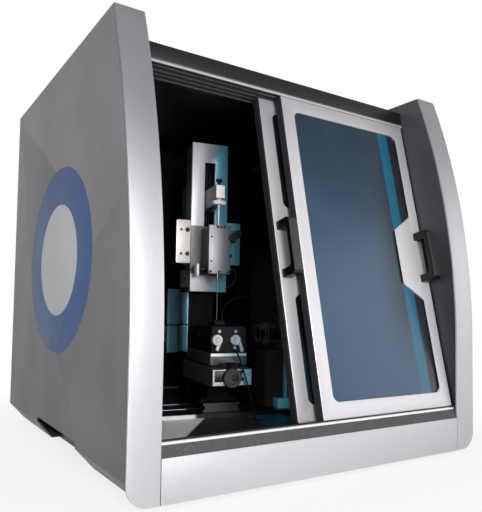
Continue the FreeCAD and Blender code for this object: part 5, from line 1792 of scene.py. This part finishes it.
@dataclass(frozen=True)
class Optics(Assembly):
    """The details of the camera and the lamp."""

    axis: float = 0.177
    lens_front: float = 0.078
    glass_radius: float = 0.0118
    body_low: Triple = (0.121, -0.023, 0.1482)
    body_high: Triple = (0.184, 0.023, 0.2042)

    def lens_glass(self) -> None:
        """The domed front glass of the lens."""
        radius = self.glass_radius
        recess = self.lens_front + 0.003
        glass = Workpiece.lathed(
            "lens_glass", ((radius, -HAIR), (radius, 0.0002), (radius * 0.85, 0.0007),
                           (radius * 0.6, 0.0012), (radius * 0.3, 0.0015), (radius * 0.05, 0.0016)), 48)
        glass.moved(BENCH.matrix() @ facing((recess, 0, self.axis), LEFT))
        glass.settle("camera", self.finishes["lens_coating"], "clear_glass")

    def lens_knurl(self) -> None:
        """The ribbed grip round the lens's ring."""
        ribs = 48
        radius = 0.0215
        start, width = 0.121 - 0.029, 0.009
        rib = Workpiece.block(
            "lens_ribs", (-0.00045, -0.0003, 0.0006), (0.00045, 0.0004, width - 0.0006))
        rib.bevel(lambda middle, way: abs(way.z) > 0.9 and middle.y > 0, 0.0002, 1)
        spots = []
        for number in range(ribs):
            turn = Matrix.Rotation(2 * math.pi * number / ribs, 4, "Z")
            spots.append(BENCH.matrix() @ facing((start, 0, self.axis), RIGHT) @ turn
                         @ Matrix.Translation((0, radius, 0)))
        rib.copies(spots).settle("camera", self.finishes["handle_black"], "handle_black")

    def camera_fins(self) -> None:
        """The cooling fins on the camera's back half."""
        _, y0, _ = self.body_low
        x1, y1, top = self.body_high
        fins, pitch, thick, tall = 9, 0.0042, 0.0016, 0.0030
        first = x1 - 0.006 - (fins - 1) * pitch
        fin = Workpiece.block(
            "camera_fins", (first, y0 + 0.004, top - HAIR), (first + thick, y1 - 0.004, top + tall))
        fin.bevel(lambda middle, way: middle.z > top + tall - HAIR, 0.0004, 2)
        spots = [BENCH.matrix() @ Matrix.Translation((pitch * number, 0, 0)) for number in range(fins)]
        fin.copies(spots).settle("camera", self.finishes["bench_black"], "instrument_black")

    def lamp_window(self) -> None:
        """The opal window in the lamp's tube."""
        window = Workpiece.lathed(
            "lamp_window", ((0.0118, -HAIR), (0.0118, 0.0006), (0.0108, 0.0010)), 40)
        window.moved(BENCH.matrix() @ facing((-0.097, 0, self.axis), RIGHT))
        window.settle("cabinet", self.finishes["lamp_white"], "clear_glass")

    def steps(self) -> tuple[Callable[[], None], ...]:
        """What is made, in order."""
        return self.lens_glass, self.lens_knurl, self.camera_fins, self.lamp_window


def main() -> None:
    """Builds the studio, the cords, the finishes and every sub-assembly in order."""
    logging.basicConfig(level=logging.INFO, format="%(name)s: %(message)s")
    Studio().build()
    finishes = Finishes()
    dress_nodes(finishes)
    round_edges(finishes)
    for cord in CORDS:
        cord.build(finishes)
    for assembly in (Cabinet, Stage, SyringeHead, Optics):
        assembly(finishes).build()


if __name__ == "__main__":
    main()
